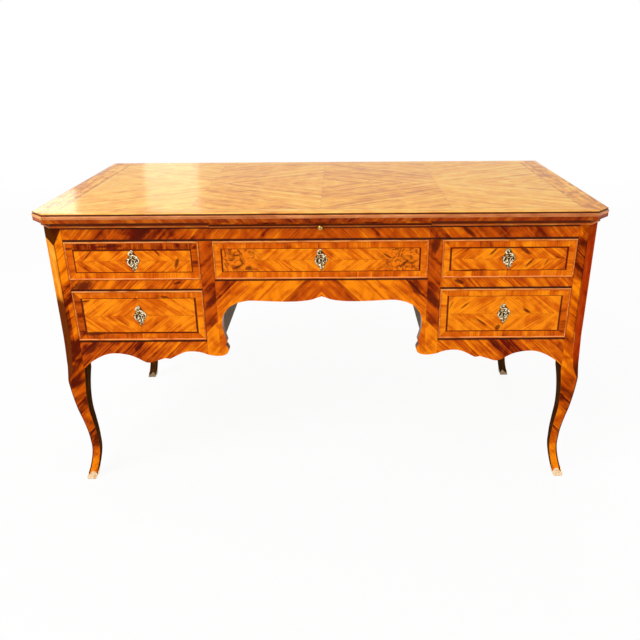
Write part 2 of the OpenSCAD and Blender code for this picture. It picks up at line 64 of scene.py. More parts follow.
class Value:
    """A number, vector or colour in a node tree. Arithmetic on it adds Math nodes."""

    def __init__(self, wires, socket):
        self.wires, self.socket = wires, socket

    def __rsub__(self, other):
        return self.wires.maths("SUBTRACT", other, self)

    def __abs__(self):
        return self.wires.maths("ABSOLUTE", self)


signs = {"__add__": "ADD", "__radd__": "ADD", "__sub__": "SUBTRACT", "__mul__": "MULTIPLY",
         "__rmul__": "MULTIPLY", "__truediv__": "DIVIDE", "__lt__": "LESS_THAN", "__gt__": "GREATER_THAN"}
for sign, operation in signs.items():
    setattr(Value, sign, lambda self, other, operation=operation: self.wires.maths(operation, self, other))


class Wires:
    """Adds nodes to one tree. What feeds a socket is a number, a colour or a Value."""

    def __init__(self, tree):
        self.tree = tree

    def feed(self, socket, source):
        if isinstance(source, Value):
            self.tree.links.new(source.socket, socket)
        else:
            socket.default_value = source

    def feed_all(self, sockets, feeds):
        for socket, source in dict(feeds).items():
            self.feed(sockets[socket], source)

    def node(self, kind, feeds=(), **settings):
        made = self.tree.nodes.new(kind)
        for name, setting in settings.items():
            setattr(made, name, setting)
        self.feed_all(made.inputs, feeds)
        return made

    def value(self, node, output=0):
        return Value(self, node.outputs[output])

    def maths(self, operation, *parts):
        return self.value(self.node("ShaderNodeMath", enumerate(parts), operation=operation))

    def floor(self, part):
        return self.maths("FLOOR", part)

    def least(self, a, b):
        return self.maths("MINIMUM", a, b)

    def most(self, a, b):
        return self.maths("MAXIMUM", a, b)

    def choose(self, test, no, yes):
        return self.value(self.node("ShaderNodeMix", {0: test, 2: no, 3: yes}))

    def blend(self, amount, first, second):
        made = self.node("ShaderNodeMix", {0: amount, 6: first, 7: second}, data_type="RGBA")
        return self.value(made, 2)

    def ease(self, part, low, high):
        """0 below low, 1 above high and smooth between them."""
        return self.value(self.node(
            "ShaderNodeMapRange", {"Value": part, "From Min": low, "From Max": high},
            interpolation_type="SMOOTHSTEP"))

    def vector(self, x=0.0, y=0.0, z=0.0):
        return self.value(self.node("ShaderNodeCombineXYZ", {0: x, 1: y, 2: z}))

    def split(self, part):
        made = self.node("ShaderNodeSeparateXYZ", {0: part})
        return [self.value(made, i) for i in range(3)]

    def noise(self, place, scale=1.0, detail=2.0, roughness=0.5, distortion=0.0):
        return self.value(self.node("ShaderNodeTexNoise", {
            "Vector": place, "Scale": scale, "Detail": detail, "Roughness": roughness,
            "Distortion": distortion}))

    def random(self, a, b=0.0):
        """A number from 0 to 1 that is the same wherever a and b are the same."""
        made = self.node("ShaderNodeTexWhiteNoise", {"Vector": self.vector(a, b)},
                         noise_dimensions="2D")
        return self.value(made)

    def place(self):
        """The place on the object, in metres."""
        return self.value(self.node("ShaderNodeTexCoord"), "Object")

    def facing(self):
        """The direction that the surface faces, seen from the object."""
        return self.value(self.node("ShaderNodeTexCoord"), "Normal")

    def group(self, name, feeds):
        made = self.node("ShaderNodeGroup", node_tree=bpy.data.node_groups[name])
        self.feed_all(made.inputs, feeds)
        return {o.name: Value(self, o) for o in made.outputs}


def seen_directly(wires):
    """1 for what the camera sees, also in metal and through glass, and 0 for lighting."""
    light = wires.node("ShaderNodeLightPath")
    seen = wires.value(light, "Is Camera Ray")
    for kind in ("Is Glossy Ray", "Is Transmission Ray"):
        seen = wires.most(seen, wires.value(light, kind))
    return seen


def material(name, **settings):
    """A material with one Principled shader, whose even values are set on its own sockets."""
    made = bpy.data.materials.new(name)
    made.use_nodes = True
    shader = made.node_tree.nodes["Principled BSDF"]
    for setting, number in settings.items():
        shader.inputs[setting.replace("_", " ")].default_value = number
    return made, Wires(made.node_tree), shader


sky_light = 0.50
backdrop_white, backdrop_high = (1, 1, 1, 1), (0.62, 0.61, 0.60, 1)
world = bpy.data.worlds.new("studio")
world.use_nodes = True
scene.world = world
wires = Wires(world.node_tree)
height = wires.split(wires.value(wires.node("ShaderNodeTexCoord"), "Generated"))[2]
backdrop = wires.blend(wires.ease(height, 0.04, 0.2), backdrop_white, backdrop_high)
sky = world.node_tree.nodes["Background"]
wires.feed(sky.inputs["Color"],
           wires.blend(seen_directly(wires), (sky_light, sky_light, sky_light, 1), backdrop))

floor_reach, floor_white, fade_near, fade_far = 30.0, 0.86, 1.6, 4.5
floor_mesh = bpy.data.meshes.new("floor")
floor_mesh.from_pydata([(floor_reach * math.cos(a), floor_reach * math.sin(a), 0)
                        for a in np.linspace(0, 2 * math.pi, 64, endpoint=False)],
                       [], [tuple(range(64))])
floor = bpy.data.objects.new("floor", floor_mesh)
scene.collection.objects.link(floor)
paper, wires, lit = material("floor_paper", Base_Color=(floor_white, floor_white, floor_white, 1),
                             Roughness=0.9, Specular_IOR_Level=0.0)
glow = wires.node("ShaderNodeEmission", {"Color": (1, 1, 1, 1), "Strength": 1.0})
x, y = wires.split(wires.place())[:2]
far = wires.ease(wires.most(abs(x), abs(y)), fade_near, fade_far)
mixed = wires.node("ShaderNodeMixShader", {
    0: seen_directly(wires) * (far * 0.08 + 0.92), 1: wires.value(lit), 2: wires.value(glow)})
wires.feed(paper.node_tree.nodes["Material Output"].inputs["Surface"], wires.value(mixed))
floor_mesh.materials.append(paper)


def soft_box(name, place, target, width, height, watts, tint=(1, 1, 1)):
    lamp = bpy.data.lights.new(name, "AREA")
    lamp.shape, lamp.size, lamp.size_y, lamp.energy = "RECTANGLE", width, height, watts
    lamp.color = tint
    lamp_object = bpy.data.objects.new(name, lamp)
    lamp_object.location = place
    aim = Vector(target) - Vector(place)
    lamp_object.rotation_euler = aim.to_track_quat("-Z", "Y").to_euler()
    scene.collection.objects.link(lamp_object)


soft_box("key_lamp", (-1.8, -2.3, 3.4), (0, 0, 0.5), 2.4, 1.8, 108)
soft_box("fill_lamp", (2.8, -2.4, 1.6), (0, 0, 0.45), 1.6, 1.6, 20)
soft_box("back_lamp", (0.6, 3.0, 3.2), (0, 0, 0.5), 2.0, 1.2, 42)
soft_box("tall_panel", (-1.17, 3.0, 1.45), (-1.17, 0, 1.1), 0.39, 0.95, 1.1, (1, 0.84, 0.60))
soft_box("side_panel", (-2.31, 3.0, 1.60), (-2.05, 0, 1.2), 0.8, 0.5, 3.4, (1, 0.88, 0.72))

# The top board. Four panels of pale, finely streaked wood, laid so that their grain forms
# lozenges, stand inside a dark string and a band whose grain runs across the edge. The
# whole is French-polished, so it is glossy and very slightly uneven.
desk_half_width, desk_half_depth, desk_height = 0.700, 0.350, 0.774
end_band, side_band, top_panel, top_slant = 0.064, 0.045, 0.320, 0.50
top_dark = (0.56, 0.17, 0.008, 1)
top_woods = top_dark, (0.92, 0.38, 0.018, 1), (0.97, 0.59, 0.095, 1)
string_black, string_red = (0.035, 0.010, 0.004, 1), (0.20, 0.035, 0.006, 1)


def node_group(name, inputs, outputs):
    """A shader group: a number, a vector of 3 or a colour of 4 gives each socket its kind."""
    tree = bpy.data.node_groups.new(name, "ShaderNodeTree")
    for in_out, sockets in (("INPUT", inputs), ("OUTPUT", outputs)):
        for socket, start in sockets.items():
            kind = ("NodeSocketFloat" if isinstance(start, (int, float))
                    else "NodeSocketVector" if len(start) == 3 else "NodeSocketColor")
            made = tree.interface.new_socket(socket, in_out=in_out, socket_type=kind)
            if in_out == "INPUT":
                made.default_value = start
    wires = Wires(tree)
    taken = wires.node("NodeGroupInput")
    return (wires, {o.name: Value(wires, o) for o in taken.outputs if o.name},
            wires.node("NodeGroupOutput").inputs)


# Wood seen along its grain: broad streaks, thin dark lines, a cloudy figure and open pores.
wires, given, result = node_group("wood_grain", {
    "Along": 0.0, "Over": 0.0, "Seed": 0.0, "Tone": 0.0, "Contrast": 1.0, "Figure": 1.0,
    "Dark": string_black, "Middle": string_black, "Light": string_black},
    {"Colour": string_black, "Pores": 0.0})
along, over, seed = given["Along"], given["Over"], given["Seed"]
bend = wires.noise(wires.vector(along * 9, over * 9, seed), detail=1.0) * 0.012
streaks = wires.noise(wires.vector(along * 3.5, (over + bend) * 95, seed), detail=3.0, roughness=0.65)
lines = wires.noise(wires.vector(along * 5, (over + bend) * 330, seed + 4))
pores = wires.noise(wires.vector(along * 60, over * 1300, seed + 9), detail=1.0)
cloud = wires.noise(wires.vector(along * 26, over * 34, seed + 2), detail=3.0, distortion=0.6)
dark_lines = wires.ease(lines, 0.56, 0.72)
fine = wires.noise(wires.vector(along * 14, (over + bend) * 700, seed + 6), detail=1.0)
fac = (0.5 + (streaks - 0.5) * given["Contrast"] * 1.7 + (cloud - 0.5) * given["Figure"] * 1.3
       + (fine - 0.5) * given["Contrast"] * 0.9 + given["Tone"]
       - dark_lines * given["Contrast"] * 0.34 + (pores - 0.5) * 0.16)
low = wires.blend(wires.ease(fac, -0.05, 0.52), given["Dark"], given["Middle"])
wires.feed_all(result, {"Colour": wires.blend(wires.ease(fac, 0.45, 1.05), low, given["Light"]),
                        "Pores": wires.ease(pores, 0.5, 0.78)})


def bump(wires, shader, height, distance):
    made = wires.node("ShaderNodeBump", {"Height": height, "Distance": distance, "Strength": 1.0})
    wires.feed(shader.inputs["Normal"], wires.value(made))


def wood(wires, along, over, seed, colours, tone=0.0, contrast=1.0, figure=1.0):
    """The colour and the open pores of wood in a dark, a middle and a light colour."""
    grain = wires.group("wood_grain", {
        "Along": along, "Over": over, "Seed": seed, "Tone": tone, "Contrast": contrast,
        "Figure": figure, "Dark": colours[0], "Middle": colours[1], "Light": colours[2]})
    return grain["Colour"], grain["Pores"]


def dress(made, *names):
    for name in names:
        nodes[name].data.materials.clear()
        nodes[name].data.materials.append(made)


top_polish, wires, shader = material("top_polish", Specular_IOR_Level=0.16)
x, y, z = wires.split(wires.place())
panel_number = wires.floor(x / top_panel)
fold = top_panel - abs(abs(x) - top_panel)
from_end = desk_half_width - end_band - abs(x)
from_side = desk_half_depth - side_band - abs(y)
from_field = wires.least(from_end, from_side)
in_field = from_field > 0
on_end = (from_end < from_side) * (1 - in_field)
along = fold * math.cos(top_slant) - abs(y) * math.sin(top_slant) + panel_number * 3
over = fold * math.sin(top_slant) + abs(y) * math.cos(top_slant)
panel_tone = (abs(x) > top_panel) * 0.18 - (x > 0) * 0.06
border_along = wires.choose(on_end, x, y) + on_end * 7 + (y > 0) * 3
border_over = wires.choose(on_end, y, x)
wood_colour, pores = wood(
    wires, wires.choose(in_field, border_along, along), wires.choose(in_field, border_over, over), 1.5,
    top_woods, tone=wires.choose(in_field, on_end * -0.20 + 0.02, panel_tone), contrast=1.35,
    figure=wires.choose(on_end, 1.0, 1.8))
panel_gap = wires.least(abs(x - wires.maths("ROUND", x / top_panel) * top_panel), abs(y))
joint = wires.choose(in_field, 1 - wires.ease(abs(from_end - from_side), 0.0003, 0.0012),
                     1 - wires.ease(panel_gap, 0.0002, 0.0009)) * 0.5
string = 1 - wires.ease(abs(from_field), 0.0005, 0.0012)
colour = wires.blend(joint, wood_colour, top_dark)
wires.feed(shader.inputs["Base Color"], wires.blend(string * 0.85, colour, string_red))
ripple = wires.noise(wires.place(), scale=9.0, detail=1.0)
wires.feed(shader.inputs["Roughness"], 0.09 + pores * 0.06 + ripple * 0.04)
bump(wires, shader, ripple * 0.5 + pores * -0.02, 0.0015)
dress(top_polish, "top_board")

# The moulding round the top. Six lengths of solid wood are mitred together. They are worked
# with a rounded nose, a quirk over it whose shade is painted near black, and a thin rounded lip,
# and the fascia under the nose is faced with short slanting strips of veneer.
top_cant, edge_width, edge_radius, lip_radius = 0.038, 0.026, 0.0040, 0.0026
fascia_height, fascia_step, top_thick = 0.010, 0.001, 0.022
under_top = desk_height - top_thick
# Painted shade: a near-black colour for the shade in narrow grooves.
painted_groove_shade = (0.10, 0.014, 0.002, 1)


def cut_rectangle(half_x, half_y, cant):
    """The corners of a rectangle with its corners cut off, anticlockwise from the front right."""
    return [(half_x - cant, -half_y), (half_x, cant - half_y), (half_x, half_y - cant),
            (half_x - cant, half_y), (cant - half_x, half_y), (-half_x, half_y - cant),
            (-half_x, cant - half_y), (cant - half_x, -half_y)]


def arc(middle, radius, start, end, steps):
    """Points on an arc in a profile, with angles in degrees."""
    return [(middle[0] + radius * math.cos(a), middle[1] + radius * math.sin(a))
            for a in np.radians(np.linspace(start, end, steps + 1))]


def mitred_run(corners, profile, closed=True):
    """Sweeps a profile of (out, up) along level corners that run anticlockwise."""
    corners = [Vector(c) for c in corners]
    count, width = len(corners), len(profile)
    points, faces = [], []
    for i, corner in enumerate(corners):
        before = corner - corners[i - 1] if closed or i else corners[1] - corners[0]
        after = corners[(i + 1) % count] - corner if closed or i < count - 1 else before
        outs = [Vector((run.y, -run.x)).normalized() for run in (before, after)]
        mitre = (outs[0] + outs[1]) / (1 + outs[0].dot(outs[1]))
        points += [(corner.x + mitre.x * out, corner.y + mitre.y * out, up) for out, up in profile]
    for i in range(count if closed else count - 1):
        j = (i + 1) % count
        faces += [(i * width + k, i * width + (k + 1) % width, j * width + (k + 1) % width,
                   j * width + k) for k in range(width)]
    if not closed:
        faces += [tuple(range(width)), tuple(range((count - 1) * width, count * width))]
    return points, faces


def piece(name, points, faces, body, slot, *materials, sharp=35, stands_for=()):
    """A new mesh that rides on a body, smooth except where it turns by more than sharp."""
    mesh = bpy.data.meshes.new(name)
    mesh.from_pydata([tuple(p) for p in points], [], faces)
    clean = bmesh.new()
    clean.from_mesh(mesh)
    bmesh.ops.recalc_face_normals(clean, faces=clean.faces)
    clean.to_mesh(mesh)
    clean.free()
    mesh.shade_smooth()
    mesh.set_sharp_from_angle(angle=math.radians(sharp))
    for made in materials:
        mesh.materials.append(made)
    made_object = bpy.data.objects.new(name, mesh)
    scene.collection.objects.link(made_object)
    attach(made_object, body)
    if stands_for:
        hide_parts(*stands_for)
    return made_object


# Where a point lies on its board's face: Across is level, and Up is upright, or runs to the
# back on a level face.
wires, given, result = node_group("board_face", {"Place": (0, 0, 0), "Facing": (0, 0, 0)},
                                  {"Across": 0.0, "Up": 0.0})
x, y, z = wires.split(given["Place"])
face_x, face_y, face_z = (abs(part) for part in wires.split(given["Facing"]))
level = face_z > wires.most(face_x, face_y)
to_side = (face_x > face_y) * (1 - level)
wires.feed_all(result, {"Across": wires.choose(to_side, x, y), "Up": wires.choose(level, z, y)})

# Strips of veneer laid at a slant that mirrors about the middle of the desk. Their widths
# and tones differ, and a thin dark joint shows between them.
wires, given, result = node_group("slanting_strips", {
    "Across": 0.0, "Up": 0.0, "Slant": 0.785, "Strip": 0.08, "Seed": 0.0},
    {"Along": 0.0, "Over": 0.0, "Tone": 0.0, "Joint": 0.0})
out, up_, seed = abs(given["Across"]), given["Up"], given["Seed"]
sin_slant, cos_slant = (wires.maths(f, given["Slant"]) for f in ("SINE", "COSINE"))
along = up_ * sin_slant - out * cos_slant
over = out * sin_slant + up_ * cos_slant
strip_place = over / given["Strip"] + seed * 5.3
strip_place = strip_place + wires.maths("SINE", strip_place * 1.9 + seed) * 0.3
strip = wires.floor(strip_place)
tone = wires.random(strip, seed) - 0.5
gap = abs(strip_place - wires.maths("ROUND", strip_place)) * given["Strip"]
wires.feed_all(result, {"Along": along + tone * 5, "Over": over, "Tone": tone,
                        "Joint": 1 - wires.ease(gap, 0.0001, 0.0007)})


def polish(wires, shader, colour, pores, smooth, open_pores, depth=0.00008):
    """Gives a shader its colour, and lets the open pores roughen and dent its polish."""
    wires.feed(shader.inputs["Base Color"], colour)
    wires.feed(shader.inputs["Roughness"], smooth + pores * open_pores)
    bump(wires, shader, pores, depth)


def on_board(wires):
    """Where a point lies on its board's face, across it and up it."""
    face = wires.group("board_face", {"Place": wires.place(), "Facing": wires.facing()})
    return face["Across"], face["Up"]


def laid_strips(wires, strip, seed, slant=0.785, rising=1):
    """The slanting strips on a board, of one width, rising to the desk's middle or falling."""
    across, up_ = on_board(wires)
    return wires.group("slanting_strips", {
        "Across": across, "Up": up_ * rising, "Slant": slant, "Strip": strip, "Seed": seed})


fascia_top = under_top + fascia_height
nose_middle = fascia_top + edge_radius - 0.0002
quirk_low, quirk_high = nose_middle + 0.0030, nose_middle + 0.0047
moulding_wood, wires, shader = material("moulding_wood", Specular_IOR_Level=0.15)
y, z = wires.split(wires.place())[1:]
out_x, out_y = wires.split(wires.facing())[:2]
wood_colour, pores = wood(
    wires, on_board(wires)[0], z + y * 0.3, 8.0,
    ((0.20, 0.030, 0.006, 1), (0.56, 0.17, 0.045, 1), (0.84, 0.34, 0.12, 1)),
    tone=0.05, contrast=0.7, figure=0.7)
# Painted highlight: the left-hand cut corner, turned to the light, is made paler orange.
lit_left_cant = (out_x < -0.4) * (out_y < -0.4)
wood_colour = wires.blend(lit_left_cant * 0.6, wood_colour, (0.92, 0.44, 0.10, 1))
# Painted shade: the quirk and the face of the lip above it are coloured near black.
quirk_shade = wires.ease(z, quirk_low, quirk_low + 0.0006)
polish(wires, shader, wires.blend(quirk_shade * 0.92, wood_colour, painted_groove_shade), pores, 0.24, 0.12)

fascia_veneer, wires, shader = material("fascia_veneer", Specular_IOR_Level=0.05)
strips = laid_strips(wires, 0.03, 2.0, slant=0.8, rising=-1)
to_left = 1 - wires.ease(wires.split(wires.place())[0], -0.5, -0.2)
wood_colour, pores = wood(
    wires, strips["Along"], strips["Over"], 3.0,
    ((0.08, 0.005, 0.001, 1), (0.30, 0.034, 0.001, 1), (0.56, 0.12, 0.005, 1)),
    tone=strips["Tone"] * 0.55 + to_left * 0.22, contrast=0.85, figure=0.7)
polish(wires, shader, wires.blend(strips["Joint"] * 0.6, wood_colour, string_black), pores, 0.16, 0.12)

edge_profile = (
    [(-edge_width, under_top), (-fascia_step, under_top), (-fascia_step, fascia_top - 0.0008)]
    + arc((-edge_radius, nose_middle), edge_radius, -38, 80, 12)
    + [(-edge_radius - 0.0009, nose_middle + edge_radius), (-edge_radius - 0.0010, quirk_high)]
    + arc((-lip_radius - 0.0018, desk_height - lip_radius), lip_radius, -8, 90, 10)
    + [(-edge_width, desk_height)])
cut_corners = cut_rectangle(desk_half_width, desk_half_depth, top_cant)
square_corners = [(desk_half_width, desk_half_depth), (-desk_half_width, desk_half_depth)]
points, faces = mitred_run(cut_corners[:2] + square_corners + cut_corners[6:], edge_profile)
top_edge = piece("top_edge", points, faces, "carcass", "edge_moulding", moulding_wood, fascia_veneer,
                 top_polish, stands_for=["top_moulding"])
for polygon in top_edge.data.polygons:
    middle = polygon.center
    if middle.z > desk_height - lip_radius and polygon.normal.z > 0.7:
        polygon.material_index = 2
    elif middle.z < fascia_top - 0.001 and abs(polygon.normal.z) < 0.2:
        polygon.material_index = 1

# The neck moulding. A thick bead, a flat and a thin bead, all of solid wood, run round the
# case close under the top and stop at each side of the writing slide.
case_half_width, case_half_depth, post_cant = 0.682, 0.328, 0.030
slide_low, slide_bead_up = 0.731, 0.0053
neck_height, neck_out, neck_radius, slide_gap = 0.016, 0.005, 0.0025, 0.2693
neck_low = under_top - neck_height
bead_back = neck_out - neck_radius
flat_out, thick_top = bead_back - 0.0012, neck_low + 2 * neck_radius
thin_middle, thin_radius = under_top - 0.0030, 0.0016
thin_low, thin_top = thin_middle - thin_radius, thin_middle + thin_radius
neck_profile = ([(0, neck_low)]
                + arc((bead_back, neck_low + neck_radius), neck_radius, -90, 90, 12)
                + [(flat_out, thick_top + 0.0004), (flat_out, thin_low)]
                + arc((bead_back, thin_middle), thin_radius, -90, 90, 8)
                + [(flat_out, thin_top + 0.0004), (flat_out, under_top), (0, under_top)])
around = cut_rectangle(case_half_width, case_half_depth, post_cant)
neck_line = [(slide_gap, -case_half_depth)] + around + [(-slide_gap, -case_half_depth)]
points, faces = mitred_run(neck_line, neck_profile, closed=False)
bead_wood, wires, shader = material("bead_wood", Specular_IOR_Level=0.05)
x, y, z = wires.split(wires.place())
across = on_board(wires)[0]
wood_colour, pores = wood(
    wires, across + z * 0.2, z + across * 0.02, 5.0,
    ((0.13, 0.012, 0.002, 1), (0.60, 0.115, 0.010, 1), (0.88, 0.33, 0.05, 1)),
    tone=0.1, contrast=0.6, figure=0.8)
# Painted highlight and wear: faces turned upwards are lightened in rubbed patches, brightest on the neck.
lit_and_worn = wires.ease(wires.split(wires.facing())[2], 0.0, 0.55)
rubbed = wires.noise(wires.vector(x * 22, y * 22, z * 30), detail=3.0)
# Painted shade: the grooves of the neck moulding and the slot round the slide's edge are coloured near black.
on_neck = z > slide_low + 0.003
recess_shade = on_neck * wires.most(z < neck_low + 0.0002, wires.ease(z, thick_top - 0.0001, thick_top + 0.0006))
under_thin = 1 - wires.ease(z, thin_low - 0.0004, thin_low + 0.0002)
recess_shade = recess_shade * wires.most(under_thin, z > thin_top + 0.0002)
beside_bead = abs(z - slide_low - slide_bead_up) > 0.0021
slot_shade = (z > slide_low - 0.0005) * (abs(x) < slide_gap) * beside_bead
highlight_and_rub_colour = wires.blend(on_neck, (0.96, 0.40, 0.13, 1), (0.62, 0.19, 0.045, 1))
lit_and_worn_colour = wires.blend(lit_and_worn * wires.ease(rubbed, 0.30, 0.52) * 0.9, wood_colour, highlight_and_rub_colour)
polish(wires, shader, wires.blend(wires.most(recess_shade, slot_shade) * 0.9, lit_and_worn_colour, painted_groove_shade), pores,
       0.17, 0.1, 0.00006)
piece("neck_bead", points, faces, "carcass", "edge_moulding", bead_wood, stands_for=["neck_moulding"])

# The veneered case: frieze, rails, uprights, aprons, brackets, side panels and back boards.
# All are oak boards faced with slanting strips of orange-brown wood that rise towards the
# middle of the desk.
case_woods = (0.13, 0.006, 0.0003, 1), (0.56, 0.080, 0.001, 1), (0.94, 0.25, 0.003, 1)
case_gloss, fleck_brown = 0.035, (0.085, 0.006, 0.001, 1)
upright_inner, shade_reach = 0.266, 0.0040


def between(wires, part, low, high, soft=0.006):
    """1 where a part lies between two limits, with soft edges."""
    return wires.ease(part, low - soft, low + soft) - wires.ease(part, high - soft, high + soft)


def near_any(wires, part, places, reach):
    """1 where a part lies on one of the places, fading to 0 at a short reach from it."""
    near = 0.0
    for place in places:
        near = wires.most(near, 1 - wires.ease(abs(part - place), reach * 0.4, reach))
    return near


# One dark fleck or knot in a sheet of veneer: a long soft spot with a ragged edge.
wires, given, result = node_group("dark_fleck", {
    "Across": 0.0, "Up": 0.0, "Middle Across": 0.0, "Middle Up": 0.0, "Half Long": 0.02,
    "Half Wide": 0.003, "Turn": 0.8}, {"Mask": 0.0})
from_x, from_z = given["Across"] - given["Middle Across"], given["Up"] - given["Middle Up"]
cos_turn, sin_turn = (wires.maths(f, given["Turn"]) for f in ("COSINE", "SINE"))
ragged = (wires.noise(wires.vector(given["Across"] * 190, given["Up"] * 190), detail=3.0) - 0.5) * 1.3
long_way = (from_x * cos_turn + from_z * sin_turn) / given["Half Long"]
wide_way = (from_z * cos_turn - from_x * sin_turn) / given["Half Wide"]
wires.feed(result["Mask"], 1 - wires.ease(long_way * long_way + wide_way * wide_way + ragged, 0.25, 1.25))


def flecks(wires, across, up_, spots):
    """All dark flecks of one sheet. A spot is (across, up, half long, half wide, degrees)."""
    mask = 0.0
    for spot_x, spot_z, half_long, half_wide, turn in spots:
        mask = wires.most(mask, wires.group("dark_fleck", {
            "Across": across, "Up": up_, "Middle Across": spot_x, "Middle Up": spot_z,
            "Half Long": half_long, "Half Wide": half_wide, "Turn": math.radians(turn)})["Mask"])
    return mask


def case_veneer(name, seed, *boards, strip=0.085, tone=0.0, contrast=1.0, fretted=0.0,
                shade_levels=(), spots=()):
    """Faces boards with slanting strips. Their tone is a number, or is worked out by place."""
    made, wires, shader = material(name, Specular_IOR_Level=case_gloss)
    place, facing = wires.split(wires.place()), wires.split(wires.facing())
    x, z = place[0], place[2]
    strips = laid_strips(wires, strip, seed, slant=math.radians(45))
    wood_colour, pores = wood(
        wires, strips["Along"], strips["Over"], seed, case_woods, contrast=contrast,
        tone=strips["Tone"] * 0.6 + (tone(wires, x, z) if callable(tone) else tone))
    sawn_edge = (abs(facing[1]) < 0.5) * fretted
    # Painted shade: dark lines at the listed heights, along the drawer openings and under the neck.
    lines = wires.most(sawn_edge, near_any(wires, z, shade_levels, shade_reach) * 0.95)
    colour = wires.blend(wires.most(strips["Joint"] * 0.5, lines), wood_colour, string_black)
    polish(wires, shader, wires.blend(flecks(wires, x, z, spots) * 0.85, colour, fleck_brown), pores,
           0.15, 0.14)
    dress(made, *boards)


def frieze_tone(wires, x, z):
    """Lighter between the uprights, darkest over the left-hand drawers."""
    left = between(wires, x, -0.49, -0.32, 0.02) * -0.30 - 0.16
    return wires.choose(abs(x) > upright_inner, 0.02, wires.choose(x > 0, left, -0.24))


def stile_tone(wires, x, z):
    """Bright at the foot of the uprights."""
    return wires.ease(z, 0.49, 0.44) * 0.14


def apron_tone(wires, x, z):
    """One dark strip under the right-hand drawer, light ones beside the kneehole."""
    leaning = x + z * 0.8 - 0.37
    left = wires.ease(leaning, -0.50, -0.46) * 0.24 - 0.16
    right = between(wires, leaning, 0.40, 0.48, 0.01) * -0.40 + 0.12
    return wires.choose(x > 0, left, right)


def arch_tone(wires, x, z):
    """Light in the middle of the arch and a little darker towards the uprights."""
    return 0.16 - wires.ease(abs(x), 0.10, 0.23) * 0.16


case_veneer("frieze_veneer", 1.3, "frieze_rail", strip=0.080, contrast=0.62, tone=frieze_tone,
            shade_levels=(0.7035, 0.7345),
            spots=[(-0.435, 0.720, 0.060, 0.012, 40), (0.36, 0.722, 0.03, 0.006, -40)])
case_veneer("stile_veneer", 2.1, "stile_left", "stile_right", strip=0.075, contrast=0.55, tone=stile_tone,
            spots=[(-0.274, 0.546, 0.032, 0.010, 50), (0.283, 0.690, 0.03, 0.012, 75),
                   (0.277, 0.550, 0.045, 0.014, -52)])
case_veneer("rail_veneer", 3.2, "middle_rails", strip=0.065, tone=0.16, shade_levels=(0.575,),
            spots=[(-0.600, 0.585, 0.034, 0.014, 20), (-0.360, 0.593, 0.012, 0.004, 15),
                   (0.345, 0.592, 0.016, 0.006, -20)])
case_veneer("apron_veneer", 4.4, "apron_left", "apron_right", strip=0.07, tone=apron_tone,
            shade_levels=(0.434,), spots=[(-0.475, 0.420, 0.018, 0.007, 60),
                                         (0.449, 0.420, 0.024, 0.010, -48), (-0.60, 0.415, 0.03, 0.010, 42)])
case_veneer("arch_veneer", 5.7, "centre_apron", "knee_brackets", fretted=0.8, strip=0.095, contrast=0.75,
            tone=arch_tone, shade_levels=(0.600,), spots=[(0.235, 0.575, 0.030, 0.008, -50)])

# The side panels and the back repeat the drawers' pattern: a band, a string and a lozenge.
# The back boards carry five imitation drawers, each inside a bead.
bank_middle, bank_half, centre_half = 0.4635, 0.1645, 0.265
upper_low, upper_high, lower_low, lower_high = 0.601, 0.701, 0.436, 0.573
drawer_band, reveal = 0.0187, 0.001
lower_half, upper_half = (lower_high - lower_low) / 2, (upper_high - upper_low) / 2
lower_middle, upper_middle = (lower_low + lower_high) / 2, (upper_low + upper_high) / 2
side_panel_half, side_panel_middle, back_centre_half = (0.205, 0.118), 0.575, 0.282

# A panel with a cross-grained band, a string and a field whose grain forms a lozenge.
# Across and Up are measured from the panel's middle.
wires, given, result = node_group("framed_panel", {
    "Across": 0.0, "Up": 0.0, "Half Width": 0.1, "Half Height": 0.1, "Band": 0.02,
    "End String": 0.003, "Top String": 0.003, "Low String": 0.003, "Slant": 0.7, "Strip": 0.05,
    "Segment": 0.05, "Seed": 0.0},
    {"Along": 0.0, "Over": 0.0, "Tone": 0.0, "Joint": 0.0, "String": 0.0, "In Band": 0.0, "At End": 0.0})
across, up_, seed = given["Across"], given["Up"], given["Seed"]
right_side, top_side = abs(across), abs(up_)
edge_x, edge_z = given["Half Width"] - right_side, given["Half Height"] - top_side
edge = wires.least(edge_x, edge_z)
in_band = edge < given["Band"]
at_end = edge_x < edge_z
band_along = wires.choose(at_end, up_, across)
band_over = wires.choose(at_end, across, up_)
segment_place = band_over / given["Segment"] + seed * 3.7
segment_place = segment_place + wires.maths("SINE", segment_place * 2.3 + seed) * 0.32
segment = wires.floor(segment_place)
segment_key = segment + at_end * 31 + (across > 0) * 57 + (up_ > 0) * 83
sin_slant, cos_slant = (wires.maths(f, given["Slant"]) for f in ("SINE", "COSINE"))
field_along = right_side * cos_slant - top_side * sin_slant
field_over = right_side * sin_slant + top_side * cos_slant
strip_place = field_over / given["Strip"]
strip = wires.floor(strip_place + seed)
key = wires.choose(in_band, strip, segment_key)
tone = wires.random(key, seed) - 0.5
quarter = (across > 0) * 0.09 + (up_ > 0) * 0.13
gap = wires.choose(in_band, wires.least(right_side, top_side), abs(edge_x - edge_z))
level_string = wires.choose(up_ > 0, given["Low String"], given["Top String"])
in_string = wires.most(edge_x < given["Band"] + given["End String"], edge_z < given["Band"] + level_string)
wires.feed_all(result, {
    "Along": wires.choose(in_band, field_along + quarter, band_along) + tone * 4,
    "Over": wires.choose(in_band, field_over, band_over), "Tone": tone,
    "Joint": 1 - wires.ease(gap, 0.0001, 0.0006), "String": (1 - in_band) * in_string,
    "In Band": in_band, "At End": at_end})


